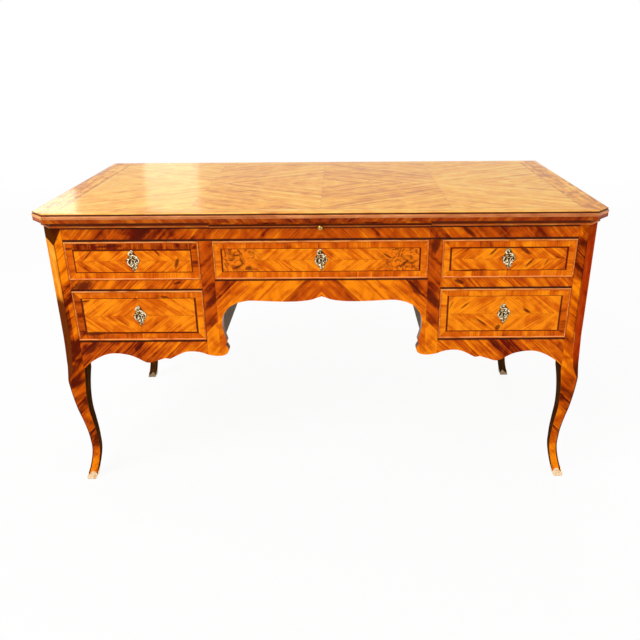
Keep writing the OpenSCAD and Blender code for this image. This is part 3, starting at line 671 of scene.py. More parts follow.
def lozenge_panel(wires, shader, seed, strips_seed, panel, shown=1):
    """Lays a framed lozenge panel where shown is 1, and outside it the strips of the case."""
    laid = wires.group("framed_panel", panel)
    strips = laid_strips(wires, 0.09, strips_seed)
    inside = shown
    for place, half in (("Across", "Half Width"), ("Up", "Half Height")):
        inside = (abs(panel[place]) < panel[half]) * inside
    wood_colour, pores = wood(
        wires, wires.choose(inside, strips["Along"], laid["Along"]),
        wires.choose(inside, strips["Over"], laid["Over"]), seed, case_woods,
        tone=wires.choose(inside, strips["Tone"] * 0.7, laid["Tone"] * 0.25 + 0.06))
    joint = wires.choose(inside, strips["Joint"], laid["Joint"]) * 0.5
    colour = wires.blend(joint, wood_colour, string_black)
    polish(wires, shader, wires.blend(laid["String"] * inside * 0.9, colour, string_black), pores, 0.15, 0.14)


side_veneer, wires, shader = material("side_veneer", Specular_IOR_Level=case_gloss)
across, up_ = on_board(wires)
lozenge_panel(wires, shader, 6.2, 6.2, {
    "Across": across, "Up": up_ - side_panel_middle, "Half Width": side_panel_half[0],
    "Half Height": side_panel_half[1], "Band": 0.028, "Slant": 0.72, "Segment": 0.06, "Seed": 6.2})
dress(side_veneer, "side_panel_left", "side_panel_right")

back_veneer, wires, shader = material("back_veneer", Specular_IOR_Level=case_gloss)
x, y, z = wires.split(wires.place())
on_upper = z > (upper_low + lower_high) / 2
in_centre = abs(x) < back_centre_half
lozenge_panel(wires, shader, 4.1, 6.6, {
    "Across": wires.choose(in_centre, abs(x) - bank_middle, x),
    "Up": z - wires.choose(on_upper, lower_middle, upper_middle),
    "Half Width": wires.choose(in_centre, bank_half, centre_half),
    "Half Height": wires.choose(on_upper, lower_half - reveal, upper_half - reveal),
    "Band": drawer_band, "Slant": 0.68, "Strip": 0.04, "Seed": 7.7}, 1 - in_centre * (1 - on_upper))
dress(back_veneer, "back_board_left", "back_board_centre", "back_board_right")

# The legs. Each is sawn with its corner post from one piece and veneered outside, and its inner
# faces are painted near black as shade. Upright strips face the post's cut corner, painted lit on
# the left and shaded on the right, and run out to a thin edge at the knee, painted dark as shade.
# The back feet stand nearer together than the front ones.
post_width, knee_width, ankle_width, toe_width = 0.053, 0.051, 0.023, 0.026
ankle_in, toe_in, back_in, edge_cut, cant_low, cant_run = 0.025, 0.004, 0.015, 0.0045, 0.316, 0.120
knee_z, flare_z, ankle_share, thin_share = 0.336, 0.352, 0.3, 0.2
shin_points = [(0.3, 1), (0.42, 0.91), (0.54, 0.70), (0.66, 0.43), (0.78, 0.24), (0.9, 0.11),
               (1, 0.04), (1.08, 0)]
cant_shares = (0, 0.17, 0.31, 0.52, 0.77, 1), (0, 0.4, 0.68, 0.8, 0.93, 1)
corner_radius, cut_radius, leg_top = 0.0022, 0.0012, 0.42
post_shadow_low, post_shadow_slope, cut_shadow_low, cut_shadow_slope = 0.687, 1.87, 0.704, 0.5
rim_highlight_place, rim_highlight_low, rim_highlight_high = 0.0255, 0.35, 0.45


def smooth_curve(points, steps):
    """Points on a smooth curve through the given ones."""
    points = [np.array(p, float) for p in points]
    last = len(points) - 1
    slopes = [points[min(i + 1, last)] - points[max(i - 1, 0)] for i in range(last + 1)]
    slopes = [s if i in (0, last) else s / 2 for i, s in enumerate(slopes)]
    curve = []
    for i in range(last):
        for t in np.arange(steps) / steps:
            curve.append((2 * t**3 - 3 * t**2 + 1) * points[i] + (t**3 - 2 * t**2 + t) * slopes[i]
                         + (3 * t**2 - 2 * t**3) * points[i + 1] + (t**3 - t**2) * slopes[i + 1])
    return curve + [points[last]]


shin_curve = np.array(smooth_curve(shin_points, 8))


def leg_out(z):
    share = z / knee_z
    if share < ankle_share:
        return toe_in + (ankle_in - toe_in) * math.sin(math.pi / 2 * share / ankle_share)
    return ankle_in * float(np.interp(share, shin_curve[:, 0], shin_curve[:, 1]))


def leg_in(z):
    share = z / knee_z
    if share < thin_share:
        return leg_out(z) + ankle_width + (toe_width - ankle_width) * (1 - share / thin_share) ** 2
    if share < 1:
        rise = (share - thin_share) / (1 - thin_share)
        return leg_out(z) + ankle_width + (knee_width - ankle_width) * rise ** 2
    knee_in = leg_out(knee_z) + knee_width
    rise = min((z - knee_z) / (flare_z - knee_z), 1)
    return knee_in + (post_width - knee_in) * rise ** 2


def lean(z, foot_in):
    """How far a leg leans to the desk's middle: in full at the ankle, not at all at the knee."""
    share = min(max((z / knee_z - ankle_share) / (1 - ankle_share), 0), 1)
    return foot_in * (1 + math.cos(math.pi * share)) / 2


def leg_section(z, grow=0.0):
    """The outline of a leg at one height, from its outer faces inwards, with soft corners."""
    out, inner = leg_out(z), leg_in(z)
    cut = edge_cut + (post_cant - edge_cut) * float(np.interp((z - cant_low) / cant_run, *cant_shares))
    outline = [(out, out + cut), (out, inner), (inner, inner), (inner, out), (out + cut, out)]
    middle = Vector(((out + inner) / 2,) * 2)
    soft = []
    for i, point in enumerate(outline):
        point = Vector(point)
        before, after = Vector(outline[i - 1]), Vector(outline[(i + 1) % 5])
        shorter_side = min((before - point).length, (after - point).length)
        radius = min(corner_radius if i in (1, 2, 3) else cut_radius, shorter_side * 0.35)
        start = point + (before - point).normalized() * radius
        end = point + (after - point).normalized() * radius
        for t in (0, 0.33, 0.67, 1):
            soft.append((1 - t) ** 2 * start + 2 * t * (1 - t) * point + t ** 2 * end)
    if grow:
        soft = [middle + (p - middle) * (1 + grow / (p - middle).length) for p in soft]
    return soft


def lofted(rings, cap=True):
    """Faces between rings of points that all have the same count."""
    width = len(rings[0])
    points = [p for ring in rings for p in ring]
    faces = [(i * width + k, i * width + (k + 1) % width, (i + 1) * width + (k + 1) % width,
              (i + 1) * width + k) for i in range(len(rings) - 1) for k in range(width)]
    if cap:
        faces += [tuple(range(width)), tuple(range(len(points) - width, len(points)))]
    return points, faces


def post_tone(wires, x, z):
    """The strips on the left-hand and right-hand posts and legs, from the top to the toe."""
    left = (between(wires, z, 0.592, 0.72) * 0.40 - between(wires, z, 0.53, 0.585) * 0.25
            + between(wires, z, 0.43, 0.53) * (abs(x) < 0.642) * 0.40
            - between(wires, z, 0.345, 0.43, 0.02) * 0.16 + between(wires, z, 0.278, 0.305) * 0.45
            - between(wires, z, 0.09, 0.27, 0.02) * 0.02 + (1 - wires.ease(z, 0.06, 0.10)) * 0.36 - 0.16)
    right = (between(wires, z, 0.59, 0.70) * -0.45 + between(wires, z, 0.43, 0.585, 0.01) * 0.26
             + between(wires, z, 0.29, 0.42, 0.01) * 0.26 - between(wires, z, 0.245, 0.285) * 0.20
             + (1 - wires.ease(z, 0.10, 0.16)) * 0.34 - 0.02)
    return wires.choose(x > 0, left, right)


leg_veneer, wires, shader = material("leg_veneer", Specular_IOR_Level=0.015)
x, y, z = wires.split(wires.place())
strips = laid_strips(wires, 0.070, 9.4, slant=0.80)
wood_colour, pores = wood(
    wires, strips["Along"], strips["Over"], 2.9, ((0.10, 0.007, 0.001, 1), *case_woods[1:]),
    tone=strips["Tone"] * 0.35 + post_tone(wires, x, z + abs(x) * 0.6 - 0.39), contrast=0.85, figure=1.1)
cut_edge = case_half_width - post_cant
# Painted shadow of the top on the head of each post, strongest on the left-hand post.
shadow_place = z + (abs(x) - cut_edge - 0.0004) * post_shadow_slope
head = wires.ease(shadow_place, post_shadow_low, post_shadow_low + 0.005) * (1 - (x > 0) * 0.75)
# Painted shade: a dark line down the arris at the cut corner, above the legs.
arris_shade = between(wires, abs(x), cut_edge - 0.003, cut_edge + 0.004, 0.0005) * (z > leg_top) * 0.55
# Painted shade: the front legs' edges that turn towards the middle are darkened.
to_middle = wires.split(wires.facing())[0] * wires.choose(x > 0, -1, 1)
leg_edge_shade = wires.ease(to_middle, 0.25, 0.45) * (z < leg_top) * (y < 0) * 0.8
shade_and_joints = wires.most(wires.most(head * 0.95, leg_edge_shade), wires.most(arris_shade, strips["Joint"] * 0.4))
polish(wires, shader, wires.blend(shade_and_joints, wood_colour, (0.055, 0.006, 0.001, 1)), pores, 0.22, 0.14)

cut_veneer, wires, shader = material("cut_veneer", Specular_IOR_Level=0.0)
x, y, z = wires.split(wires.place())
# Painted light: a lit copy of the wood on the left-hand cut corners, a shaded copy on the right.
lit_cut_woods = (0.42, 0.075, 0.006, 1), (0.84, 0.25, 0.012, 1), (0.96, 0.44, 0.050, 1)
shaded_cut_woods = (0.24, 0.012, 0.001, 1), (0.46, 0.038, 0.003, 1), (0.64, 0.080, 0.005, 1)
wood_colour, pores = wood(
    wires, z, x, 3.3, [wires.blend(x > 0, left, right) for left, right in zip(lit_cut_woods, shaded_cut_woods)],
    tone=wires.choose(x > 0, 0.10, 0.0), contrast=0.7)
# Painted shade: each cut corner darkens towards its foot.
low_end = wires.choose(x > 0, 1 - wires.ease(z, 0.535, 0.560), 1 - wires.ease(z, 0.34, 0.38))
shaded = wires.blend(low_end * 0.95, wood_colour, (0.11, 0.012, 0.002, 1))
# Painted highlight: bright lines along the edges of the right-hand front cut corner at the knee.
from_cut_middle = abs(abs(x) - case_half_width - abs(y) + case_half_depth)
on_front_right = (x > 0) * between(wires, z, rim_highlight_low, rim_highlight_high) * (1 - (y > 0))
rim = wires.ease(from_cut_middle, rim_highlight_place, rim_highlight_place + 0.002) * on_front_right
with_rim_highlight = wires.blend(rim, shaded, (0.96, 0.34, 0.06, 1))
# Painted shadow of the top on the head of the cut corners, strongest on the left.
shadow_place = z - (abs(x) - case_half_width) * cut_shadow_slope
head = wires.ease(shadow_place, cut_shadow_low, cut_shadow_low + 0.004) * (1 - (x > 0) * 0.7)
polish(wires, shader, wires.blend(head * 0.96, with_rim_highlight, (0.050, 0.006, 0.001, 1)), pores, 0.4, 0.2)

# Painted shade: the legs' inner faces, turned from the light, are near black.
leg_inner_shade, wires, shader = material("leg_inner_shade", Specular_IOR_Level=0.0)
x, y, z = wires.split(wires.place())
wood_colour, pores = wood(
    wires, z, x + y, 5.5, ((0.022, 0.008, 0.002, 1), (0.060, 0.020, 0.005, 1), (0.11, 0.040, 0.010, 1)),
    contrast=0.8)
polish(wires, shader, wood_colour, pores, 0.5, 0.2, 0.0001)

sole_thick = 0.0015
leg_heights = np.unique(np.concatenate([
    np.linspace(sole_thick, knee_z, 64), np.linspace(knee_z, cant_low + cant_run, 14), [under_top]]))
corners = {"front_left": (-1, -1, 0), "front_right": (1, -1, 0),
           "back_left": (-1, 1, back_in), "back_right": (1, 1, back_in)}


def at_corner(rings, side, end, foot_in):
    """Stands rings of points, measured inwards from the case's corner, at one corner."""
    return [[(side * (case_half_width - px - lean(pz, foot_in)), end * (case_half_depth - py), pz)
             for px, py, pz in ring] for ring in rings]


leg_rings = [[(p.x, p.y, z) for p in leg_section(z, -0.006 * max(1 - z / 0.014, 0))] for z in leg_heights]
for name, (side, end, foot_in) in corners.items():
    points, faces = lofted(at_corner(leg_rings, side, end, foot_in))
    made = piece(f"cabriole_{name}", points, faces, "carcass", "case_veneer", leg_veneer, leg_inner_shade,
                 cut_veneer, stands_for=[f"leg_{name}"])
    for polygon in made.data.polygons:
        out_x, out_y = polygon.normal.x * side, polygon.normal.y * end
        polygon.material_index = 1 if max(out_x, out_y) < 0.25 else 2 if min(out_x, out_y) > 0.45 else 0

# The toe caps. Each is a thin casting in the form of a shoe, fixed under the toe. Its rolled
# upper edge rises in a tongue on every face. The gilding is worn to pale brass, and the back
# caps are painted dark as shade.
cap_height, cap_thick, cap_steps = 0.0245, 0.0015, 96
gilt_grime_and_shade, front, upwards = (0.035, 0.020, 0.010, 1), 1, 2


def gilt_brass(name, grime_and_shade_low, grime_and_shade_high, axis, start, bright, dull):
    """Worn gilding. Grime and painted shade lie near what it is fixed to, painted shade at the back."""
    made, wires, shader = material(name, Metallic=1.0)
    place = wires.place()
    wear = wires.noise(place, scale=160.0, detail=3.0)
    pits = wires.noise(place, scale=900.0)
    # Grime and painted shade where the surface is close to what it is fixed to.
    depth = (wires.split(place)[axis] - start) * (-1 if axis == front else 1)
    grime_and_shade = 1 - wires.ease(depth, grime_and_shade_low, grime_and_shade_high)
    # Painted shade: at the back of the desk the gilding is darkened.
    back_shade = wires.ease(wires.split(place)[1], 0.0, 0.1) * 0.7
    metal = wires.blend(back_shade, wires.blend(wires.ease(wear, 0.42, 0.60), bright, dull), gilt_grime_and_shade)
    wires.feed(shader.inputs["Base Color"], wires.blend(grime_and_shade * 0.85, metal, gilt_grime_and_shade))
    wires.feed(shader.inputs["Roughness"], 0.24 + wear * 0.22 + grime_and_shade * 0.3)
    bump(wires, shader, pits, 0.00006)
    return made


cap_gilt = gilt_brass("cap_gilt", -0.001, 0.003, upwards, 0.0, (1.0, 0.76, 0.50, 1), (0.86, 0.50, 0.22, 1))


def resampled(outline, count):
    """The same closed outline with points at equal steps along it."""
    line = np.array([tuple(p) for p in outline] + [tuple(outline[0])])
    lengths = np.concatenate([[0], np.cumsum(np.linalg.norm(np.diff(line, axis=0), axis=1))])
    at = np.linspace(0, lengths[-1], count, endpoint=False)
    return [Vector((np.interp(a, lengths, line[:, 0]), np.interp(a, lengths, line[:, 1]))) for a in at]


def cap_rise(point, middle):
    """How high the cap's upper edge stands at a point: a tongue on each face, low corners."""
    turn = math.atan2(point.y - middle, point.x - middle)
    tongue = abs(math.cos(2 * turn)) ** 0.9
    return cap_height * (0.42 + 0.58 * tongue)


def cap_rings():
    """The cap's skin, from inside the sole out and up to the rolled edge and back inside."""
    foot_middle = (leg_out(0.010) + leg_in(0.010)) / 2
    rises = [cap_rise(p, foot_middle) for p in resampled(leg_section(0.001, cap_thick), cap_steps)]
    levels = [(0.0, -0.0040), (0.015, -0.0026), (0.05, -0.0012), (0.11, -0.0001), (0.19, cap_thick - 0.0007),
              (0.3, cap_thick - 0.0002), (0.5, cap_thick - 0.0004), (0.7, cap_thick - 0.0005),
              (0.84, cap_thick - 0.0004), (0.9, cap_thick), (0.95, cap_thick),
              (1.0, cap_thick - 0.0005), (0.99, 0.0), (0.6, -0.001)]
    sections, rings = {}, []
    for share, grow in levels:
        ring = []
        for i, rise in enumerate(rises):
            at = round(rise * share, 4), grow
            if at not in sections:
                sections[at] = resampled(leg_section(*at), cap_steps)
            ring.append((*sections[at][i], rise * share))
        rings.append(ring)
    return rings


def joined(parts):
    """Several meshes, each of them (points, faces), as one."""
    points, faces = [], []
    for more_points, more_faces in parts:
        faces += [tuple(i + len(points) for i in face) for face in more_faces]
        points += more_points
    return points, faces


cap_skin, sole, caps = cap_rings(), [tuple(range(cap_steps))], []
for corner in corners.values():
    points, faces = lofted(at_corner(cap_skin, *corner), cap=False)
    caps.append((points, faces + sole))
piece("cast_toe_caps", *joined(caps), "carcass", "gilt_brass", cap_gilt, sharp=50, stands_for=["toe_caps"])

# The writing slide. A thin veneered board runs in grooves above the centre drawer, and its
# front edge is worked with a bead, a quirk and a fillet. A turned brass ball draws it out.
slide_half, slide_long, slide_thick, slide_out, slide_middle = 0.268, 0.420, 0.011, 0.005, 0.205
slide_back = slide_out - slide_long
slide_profile = ([(slide_back, 0), (0.0010, 0), (0.0014, 0.0005), (0.0014, 0.0028)]
                 + arc((0.0026, slide_bead_up), 0.0022, -90, 90, 12)
                 + [(0.0012, 0.0078), (0.0012, 0.0105), (0.0006, slide_thick), (slide_back, slide_thick)])
points, faces = mitred_run([(-slide_half, -case_half_depth), (slide_half, -case_half_depth)],
                           [(out, slide_low + up_) for out, up_ in slide_profile], closed=False)
slide_veneer, wires, shader = material("slide_veneer")
x, y, z = wires.split(wires.place())
laid = wires.group("framed_panel", {
    "Across": x, "Up": y + case_half_depth - slide_middle, "Half Width": slide_half,
    "Half Height": slide_long / 2, "Band": 0.03, "Slant": 0.1, "Strip": 0.5, "Segment": 0.09, "Seed": 4.0})
wood_colour, pores = wood(wires, laid["Along"], laid["Over"], 6.0, top_woods, tone=laid["Tone"] * 0.4,
                          contrast=0.7)
dark = wires.most(laid["String"] * 0.9, laid["Joint"] * 0.4)
polish(wires, shader, wires.blend(dark, wood_colour, string_black), pores, 0.22, 0.14)
slide = piece("slide_board", points, faces, "writing_slide", "case_veneer", slide_veneer, bead_wood,
              stands_for=["writing_slide"])
for polygon in slide.data.polygons:
    if polygon.center.y < -case_half_depth:
        polygon.material_index = 1


def turned(profile, steps=40):
    """A turned form: (radius, reach) points spun round the reach axis, closed at both ends."""
    rings = [[(r * math.cos(a), r * math.sin(a), reach)
              for a in np.linspace(0, 2 * math.pi, steps, endpoint=False)] for r, reach in profile]
    return lofted(rings)


ball_radius, collar_reach = 0.00685, 0.002
knob_profile = ([(0.0048, 0), (0.0050, 0.0003), (0.0048, 0.0008), (0.0036, 0.0011), (0.0028, 0.0014)]
                + [(ball_radius * math.sin(a), collar_reach + ball_radius * (1 - math.cos(a)))
                   for a in np.radians(np.linspace(26, 176, 20))])
slide_front = -case_half_depth - slide_out
knob_gilt = gilt_brass("knob_gilt", -0.001, 0.0015, front, slide_front, (0.62, 0.40, 0.11, 1),
                       (0.36, 0.20, 0.045, 1))
points, faces = turned(knob_profile)
points = [(px, slide_front - reach, slide_low + slide_thick / 2 + pz) for px, pz, reach in points]
piece("knob_ball", points, faces, "writing_slide", "gilt_brass", knob_gilt, stands_for=["slide_knob"])

# The drawer fronts. A lozenge of slanting strips lies inside a dark string and a band of
# short cross-grained pieces. The centre drawer's ends are cut from knotty root wood.
drawers = {"upper_left": (-bank_middle, bank_half, upper_low, upper_high),
           "lower_left": (-bank_middle, bank_half, lower_low, lower_high),
           "centre": (0.0, centre_half, upper_low, upper_high),
           "upper_right": (bank_middle, bank_half, upper_low, upper_high),
           "lower_right": (bank_middle, bank_half, lower_low, lower_high)}
keyhole_dark_half_width, keyhole_dark_half_height, centre_knots_from, no_knots = 0.0185, 0.031, 0.13, 10.0
# The tone of each field; the tones of its band at the left, right, top and foot; the widths
# of its string at the ends, top and foot in millimetres; and the dark flecks.
front_looks = {
    "upper_left": (0.16, (0.02, -0.20, -0.28, 0.14), (3.0, 4.6, 2.2), [
        (-0.572, 0.668, 0.020, 0.0020, 46), (-0.402, 0.671, 0.013, 0.0026, -52),
        (-0.620, 0.683, 0.012, 0.004, 0), (-0.52, 0.689, 0.04, 0.004, 3),
        (-0.356, 0.645, 0.016, 0.005, 70)]),
    "lower_left": (0.27, (-0.24, 0.22, 0.02, -0.06), (5.2, 1.6, 4.4), [
        (-0.395, 0.556, 0.012, 0.003, -8), (-0.60, 0.545, 0.016, 0.003, 10),
        (-0.585, 0.456, 0.030, 0.006, 3)]),
    "centre": (0.28, (0.24, 0.14, 0.04, 0.06), (4.2, 1.4, 1.8), [
        (-0.208, 0.664, 0.012, 0.003, 10), (-0.196, 0.648, 0.010, 0.0026, -65),
        (-0.206, 0.634, 0.012, 0.003, 25), (-0.180, 0.631, 0.010, 0.006, 20),
        (0.205, 0.640, 0.014, 0.004, 40), (0.165, 0.660, 0.014, 0.003, -30)]),
    "upper_right": (0.17, (0.20, 0.16, 0.10, 0.16), (4.8, 3.6, 1.8), [
        (0.424, 0.669, 0.013, 0.0032, 45), (0.503, 0.672, 0.020, 0.0055, -38),
        (0.557, 0.641, 0.012, 0.0014, 60), (0.516, 0.640, 0.016, 0.003, 50),
        (0.375, 0.622, 0.040, 0.003, 2)]),
    "lower_right": (0.36, (0.28, -0.02, 0.18, 0.06), (4.6, 1.2, 2.6), [
        (0.364, 0.528, 0.015, 0.0024, 42), (0.522, 0.512, 0.012, 0.004, -25),
        (0.451, 0.466, 0.010, 0.007, 60), (0.408, 0.482, 0.020, 0.003, -35),
        (0.329, 0.530, 0.012, 0.0012, 62)])}


for number, (name, (middle, half_width, low, high)) in enumerate(drawers.items()):
    tone, band, strings, spots = front_looks[name]
    end_string, top_string, low_string = (width / 1000 for width in strings)
    seed = 11.3 + 2.7 * number
    knots_from = centre_knots_from if name == "centre" else no_knots
    made, wires, shader = material(f"{name}_front_veneer", Specular_IOR_Level=case_gloss)
    x, y, z = wires.split(wires.place())
    across, up_ = x - middle, z - (low + high) / 2
    laid = wires.group("framed_panel", {
        "Across": across, "Up": up_, "Half Width": half_width, "Half Height": (high - low) / 2 - reveal,
        "Band": drawer_band, "End String": end_string, "Top String": top_string,
        "Low String": low_string, "Slant": 0.66, "Strip": 0.045, "Segment": 0.06, "Seed": seed})
    in_band = laid["In Band"]
    band_tone = wires.choose(laid["At End"], wires.choose(up_ > 0, band[3], band[2]),
                             wires.choose(across > 0, band[0], band[1]))
    wood_colour, pores = wood(
        wires, laid["Along"], laid["Over"], seed,
        (case_woods[0], (0.63, 0.10, 0.001, 1), (0.95, 0.27, 0.005, 1)),
        tone=wires.choose(in_band, laid["Tone"] * 0.14 + tone, laid["Tone"] * 0.30 + band_tone),
        contrast=wires.choose(in_band, 0.85, 0.45), figure=wires.choose(in_band, 1.1, 1.0))
    knotty = wires.noise(wires.vector(x * 34, z * 34, seed), detail=4.0, roughness=0.6, distortion=2.6)
    knots = wires.ease(abs(across), knots_from, knots_from + 0.05) * (1 - in_band)
    burl = wires.blend(wires.ease(knotty, 0.36, 0.56), (0.16, 0.012, 0.002, 1), (0.86, 0.19, 0.004, 1))
    colour = wires.blend(knots * 0.75, wood_colour, burl)
    colour = wires.blend(laid["Joint"] * 0.35, colour, string_black)
    dark = wires.most(laid["String"] * 0.94, flecks(wires, x, z, spots) * 0.8)
    colour = wires.blend(dark, colour, fleck_brown)
    # Stain and painted shade: a dark patch round the keyhole, under the pierced mount.
    from_keyhole = abs(across) / keyhole_dark_half_width + abs(up_ - 0.001) / keyhole_dark_half_height
    stain_and_shade = 1 - wires.ease(from_keyhole, 0.80, 1.05)
    polish(wires, shader, wires.blend(stain_and_shade * 0.9, colour, string_black), pores, 0.14, 0.14)
    dress(made, f"{name}_front")

# The beads. A thin rounded strip is let into the edge of each front and mitred at its
# corners, and stands a little proud. The back has the same beads laid on the boards.
bead_width, bead_out, bead_deep = 0.004, 0.0025, 0.004
bead_corners = arc((-bead_width / 2, bead_out - bead_width / 2), bead_width / 2, 0, 180, 12)
front_bead = [(-bead_width, -bead_deep), (0, -bead_deep)] + bead_corners
back_bead = [(-bead_width, 0), (0, 0)] + bead_corners


def bead_frame(middle, half_width, low, high, profile):
    """A mitred frame in the plane of the front, as (across, up, proud) points."""
    corners = [(middle - half_width, low + reveal), (middle + half_width, low + reveal),
               (middle + half_width, high - reveal), (middle - half_width, high - reveal)]
    return mitred_run(corners, profile)


for name, (middle, half_width, low, high) in drawers.items():
    points, faces = bead_frame(middle, half_width, low, high, front_bead)
    points = [(px, -case_half_depth - proud, pz) for px, pz, proud in points]
    piece(f"{name}_cock_bead", points, faces, f"{name}_drawer", "edge_moulding", bead_wood,
          stands_for=[f"{name}_bead"])

points, faces = joined([bead_frame(*place, back_bead) for place in drawers.values()])
points = [(px, case_half_depth + proud, pz) for px, pz, proud in points]
piece("back_cock_beads", points, faces, "carcass", "edge_moulding", bead_wood, stands_for=["back_beads"])

# The keyhole mounts. Each is a pierced casting of scrolls and leaves round an oval plate,
# chased, gilded and pinned to the front, and longer on one side than on the other.
# A scroll is its line in millimetres from the keyhole, its widest half width and its height.
scrolls = [
    ([(-1, 13.5), (-6.5, 13.5), (-10, 17), (-8.8, 21.5), (-4.5, 23.5), (-0.8, 21), (-1.8, 18)], 2.2, 2.0),
    ([(-5, 23.5), (-1.5, 26.6), (1.5, 24.5), (0.5, 21.5)], 1.7, 1.8),
    ([(-2, 14.5), (4, 14), (9, 11.5), (15, 10.5)], 2.4, 2.0),
    ([(2, 10), (6.5, 7.5), (11.5, 8), (15.6, 4.5), (16, -1.5), (12.5, -5), (9, -2)], 2.1, 2.0),
    ([(4, 1.5), (7.5, 2.5), (10.5, 4)], 1.9, 1.8),
    ([(-10, 10.5), (-6, 7.5), (-1.5, 9.5)], 2.4, 2.0),
    ([(-16.5, 5.5), (-12.5, 4), (-8, 6)], 2.3, 1.9),
    ([(-11.5, 3), (-15.4, -1.5), (-14.5, -7), (-10.5, -10.5), (-7.5, -7.5)], 2.2, 2.0),
    ([(-5.5, 2.5), (-5.2, -3), (-5.5, -8), (-8.5, -4)], 1.8, 1.8),
    ([(-10, -11.5), (-6, -13.8), (-2, -12), (-2, -16), (1.5, -18)], 2.3, 1.9),
    ([(12.5, -9), (7.5, -9), (5, -12.5), (9, -15.5)], 2.3, 1.9),
    ([(9, -15), (5.5, -18.5), (1.5, -17.5)], 2.1, 1.8),
    ([(-2.5, -17), (-2, -21), (1.5, -23), (2.5, -26.5)], 2.1, 1.7),
    ([(4.5, -7.5), (7.5, -6), (10, -8)], 1.7, 1.7)]
scroll_section = [(-1, 0), (-0.92, 0.42), (-0.6, 0.8), (-0.15, 0.9), (0, 1), (0.3, 0.86), (0.7, 0.7),
                  (0.94, 0.36), (1, 0)]
scroll_spread, ball_from = 0.88, 0.86


def scroll_mesh(line, half_width, height):
    """One tapered scroll with a rounded face and a flat back, ending in a small ball."""
    curve = smooth_curve(line, 7)
    last = len(curve) - 1
    rings = []
    for i, point in enumerate(curve):
        run = curve[min(i + 1, last)] - curve[max(i - 1, 0)]
        run = run / np.linalg.norm(run)
        sideways = np.array((-run[1], run[0]))
        share = i / last
        wide = half_width * (0.35 + 0.65 * math.sin(math.pi * min(share * 1.15, 1)) ** 0.7)
        if share > ball_from:
            wide = half_width * (0.35 + 0.5 * math.sin(math.pi * (share - ball_from) / 0.17))
        rings.append([(*(point + sideways * wide * q), height * h * (0.55 + 0.45 * wide / half_width))
                      for q, h in scroll_section])
    return lofted(rings)


def keyhole_plate():
    """An oval plate, domed towards a keyhole with a round head and a straight slot."""
    head, slot_half, slot_low = 3.0, 1.5, -8.0
    plate_middle, plate_half_width, plate_half_height = -2, 5.0, 7.6
    hole = [(head * math.cos(a), head * math.sin(a)) for a in np.radians(np.linspace(-60, 240, 25))]
    hole += [(-slot_half, slot_low * 0.6), (-slot_half, slot_low), (0, slot_low), (slot_half, slot_low),
             (slot_half, slot_low * 0.6)]
    turns = [math.atan2(pz - plate_middle, px) for px, pz in hole]
    rim = [(plate_half_width * math.cos(a), plate_middle + plate_half_height * math.sin(a)) for a in turns]
    levels = (0, 0), (0, 1.5), (0.25, 1.8), (0.5, 1.7), (0.8, 1.2), (1, 0.7), (1, 0)
    rings = [[(px + (rx - px) * grow, pz + (rz - pz) * grow, height)
              for (px, pz), (rx, rz) in zip(hole, rim)] for grow, height in levels]
    return lofted(rings, cap=False)


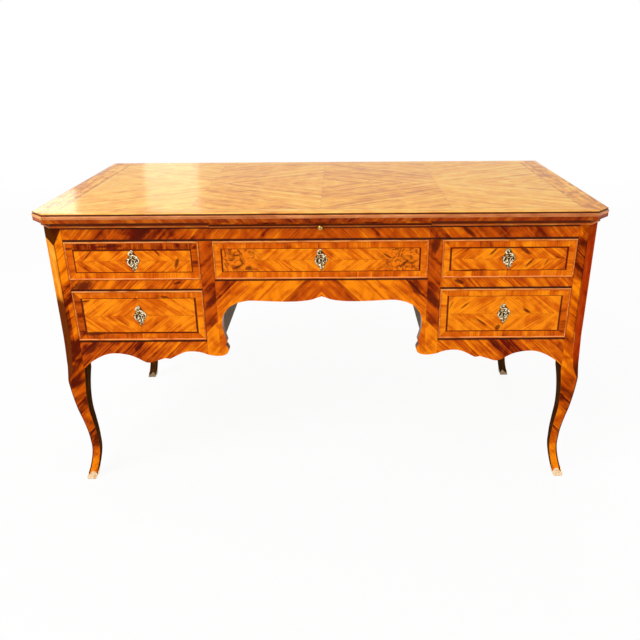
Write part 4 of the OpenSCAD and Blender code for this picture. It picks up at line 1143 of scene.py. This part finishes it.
mount_gilt = gilt_brass("mount_gilt", 0.0006, 0.0017, front, -case_half_depth, (0.99, 0.86, 0.58, 1),
                        (0.40, 0.27, 0.10, 1))
parts = [scroll_mesh([(px * scroll_spread, pz) for px, pz in line], half_width, height)
         for line, half_width, height in scrolls] + [keyhole_plate()]
pin_profile = [(0.9, 0), (1.1, 0.8), (1.0, 1.5), (0.6, 1.9), (0.2, 2.0)]
for px, pz in ((-4.5, 20.0), (2.5, -15.5)):
    points, faces = turned(pin_profile, 14)
    parts.append(([(qx + px, qz + pz, reach) for qx, qz, reach in points], faces))
mount_points, faces = joined(parts)
for name, (middle, half_width, low, high) in drawers.items():
    points = [(middle + px / 1000, -case_half_depth - proud / 1000, (low + high) / 2 + pz / 1000)
              for px, pz, proud in mount_points]
    piece(f"{name}_mount", points, faces, f"{name}_drawer", "gilt_brass", mount_gilt, sharp=60,
          stands_for=[f"{name}_escutcheon"])

# The drawer boxes, dust boards, runners, bearers and glue blocks. All are plain oak, never
# polished, so they are dry, a little rough and browned with age.
oak_woods = (0.13, 0.065, 0.025, 1), (0.34, 0.20, 0.085, 1), (0.50, 0.33, 0.16, 1)


def bare_oak(name, seed, *boards, upright=False, tone=0.0, grey=0.0):
    made, wires, shader = material(name, Specular_IOR_Level=0.1)
    x, y, z = wires.split(wires.place())
    along, over = (z, x * 0.9 + y * 0.35) if upright else (y, x * 0.55 + z)
    wood_colour, pores = wood(wires, along, over, seed, oak_woods, tone=tone, contrast=0.75, figure=0.6)
    dust = wires.noise(wires.place(), scale=14.0, detail=4.0)
    aged = wires.blend(wires.ease(dust, 0.35, 0.75) * 0.35, wood_colour, (0.17, 0.11, 0.055, 1))
    polish(wires, shader, wires.blend(grey, aged, (0.10, 0.085, 0.05, 1)), pores, 0.62, 0.2, 0.00025)
    dress(made, *boards)


bare_oak("box_oak", 1.0, *[f"{name}_box" for name in drawers], tone=0.1)
bare_oak("inner_oak", 2.0, "dust_boards", "drawer_runners", "slide_bearers", "glue_blocks")
bare_oak("wall_oak", 3.0, "knee_wall_left", "knee_wall_right", upright=True, tone=-0.5, grey=0.5)

# The locks and their bolts. The cases are filed iron let into the backs of the fronts, and
# each bolt rises out of its case into the rail above.
for name, bright in (("lock_iron", 0.20), ("bolt_iron", 0.34)):
    iron, wires, shader = material(name, Metallic=1.0)
    place = wires.place()
    x, y, z = wires.split(place)
    filed = wires.noise(wires.vector(x * 40, y * 40, z * 1500))
    rust = wires.ease(wires.noise(place, scale=90.0, detail=4.0), 0.52, 0.7)
    wires.feed(shader.inputs["Base Color"], wires.blend(
        rust * 0.6, (bright, bright * 0.96, bright * 0.9, 1), (0.10, 0.045, 0.02, 1)))
    wires.feed(shader.inputs["Roughness"], 0.36 + filed * 0.16 + rust * 0.25)
    bump(wires, shader, filed, 0.00005)
    dress(iron, *[f"{drawer}_{name.split('_')[0]}" for drawer in drawers])
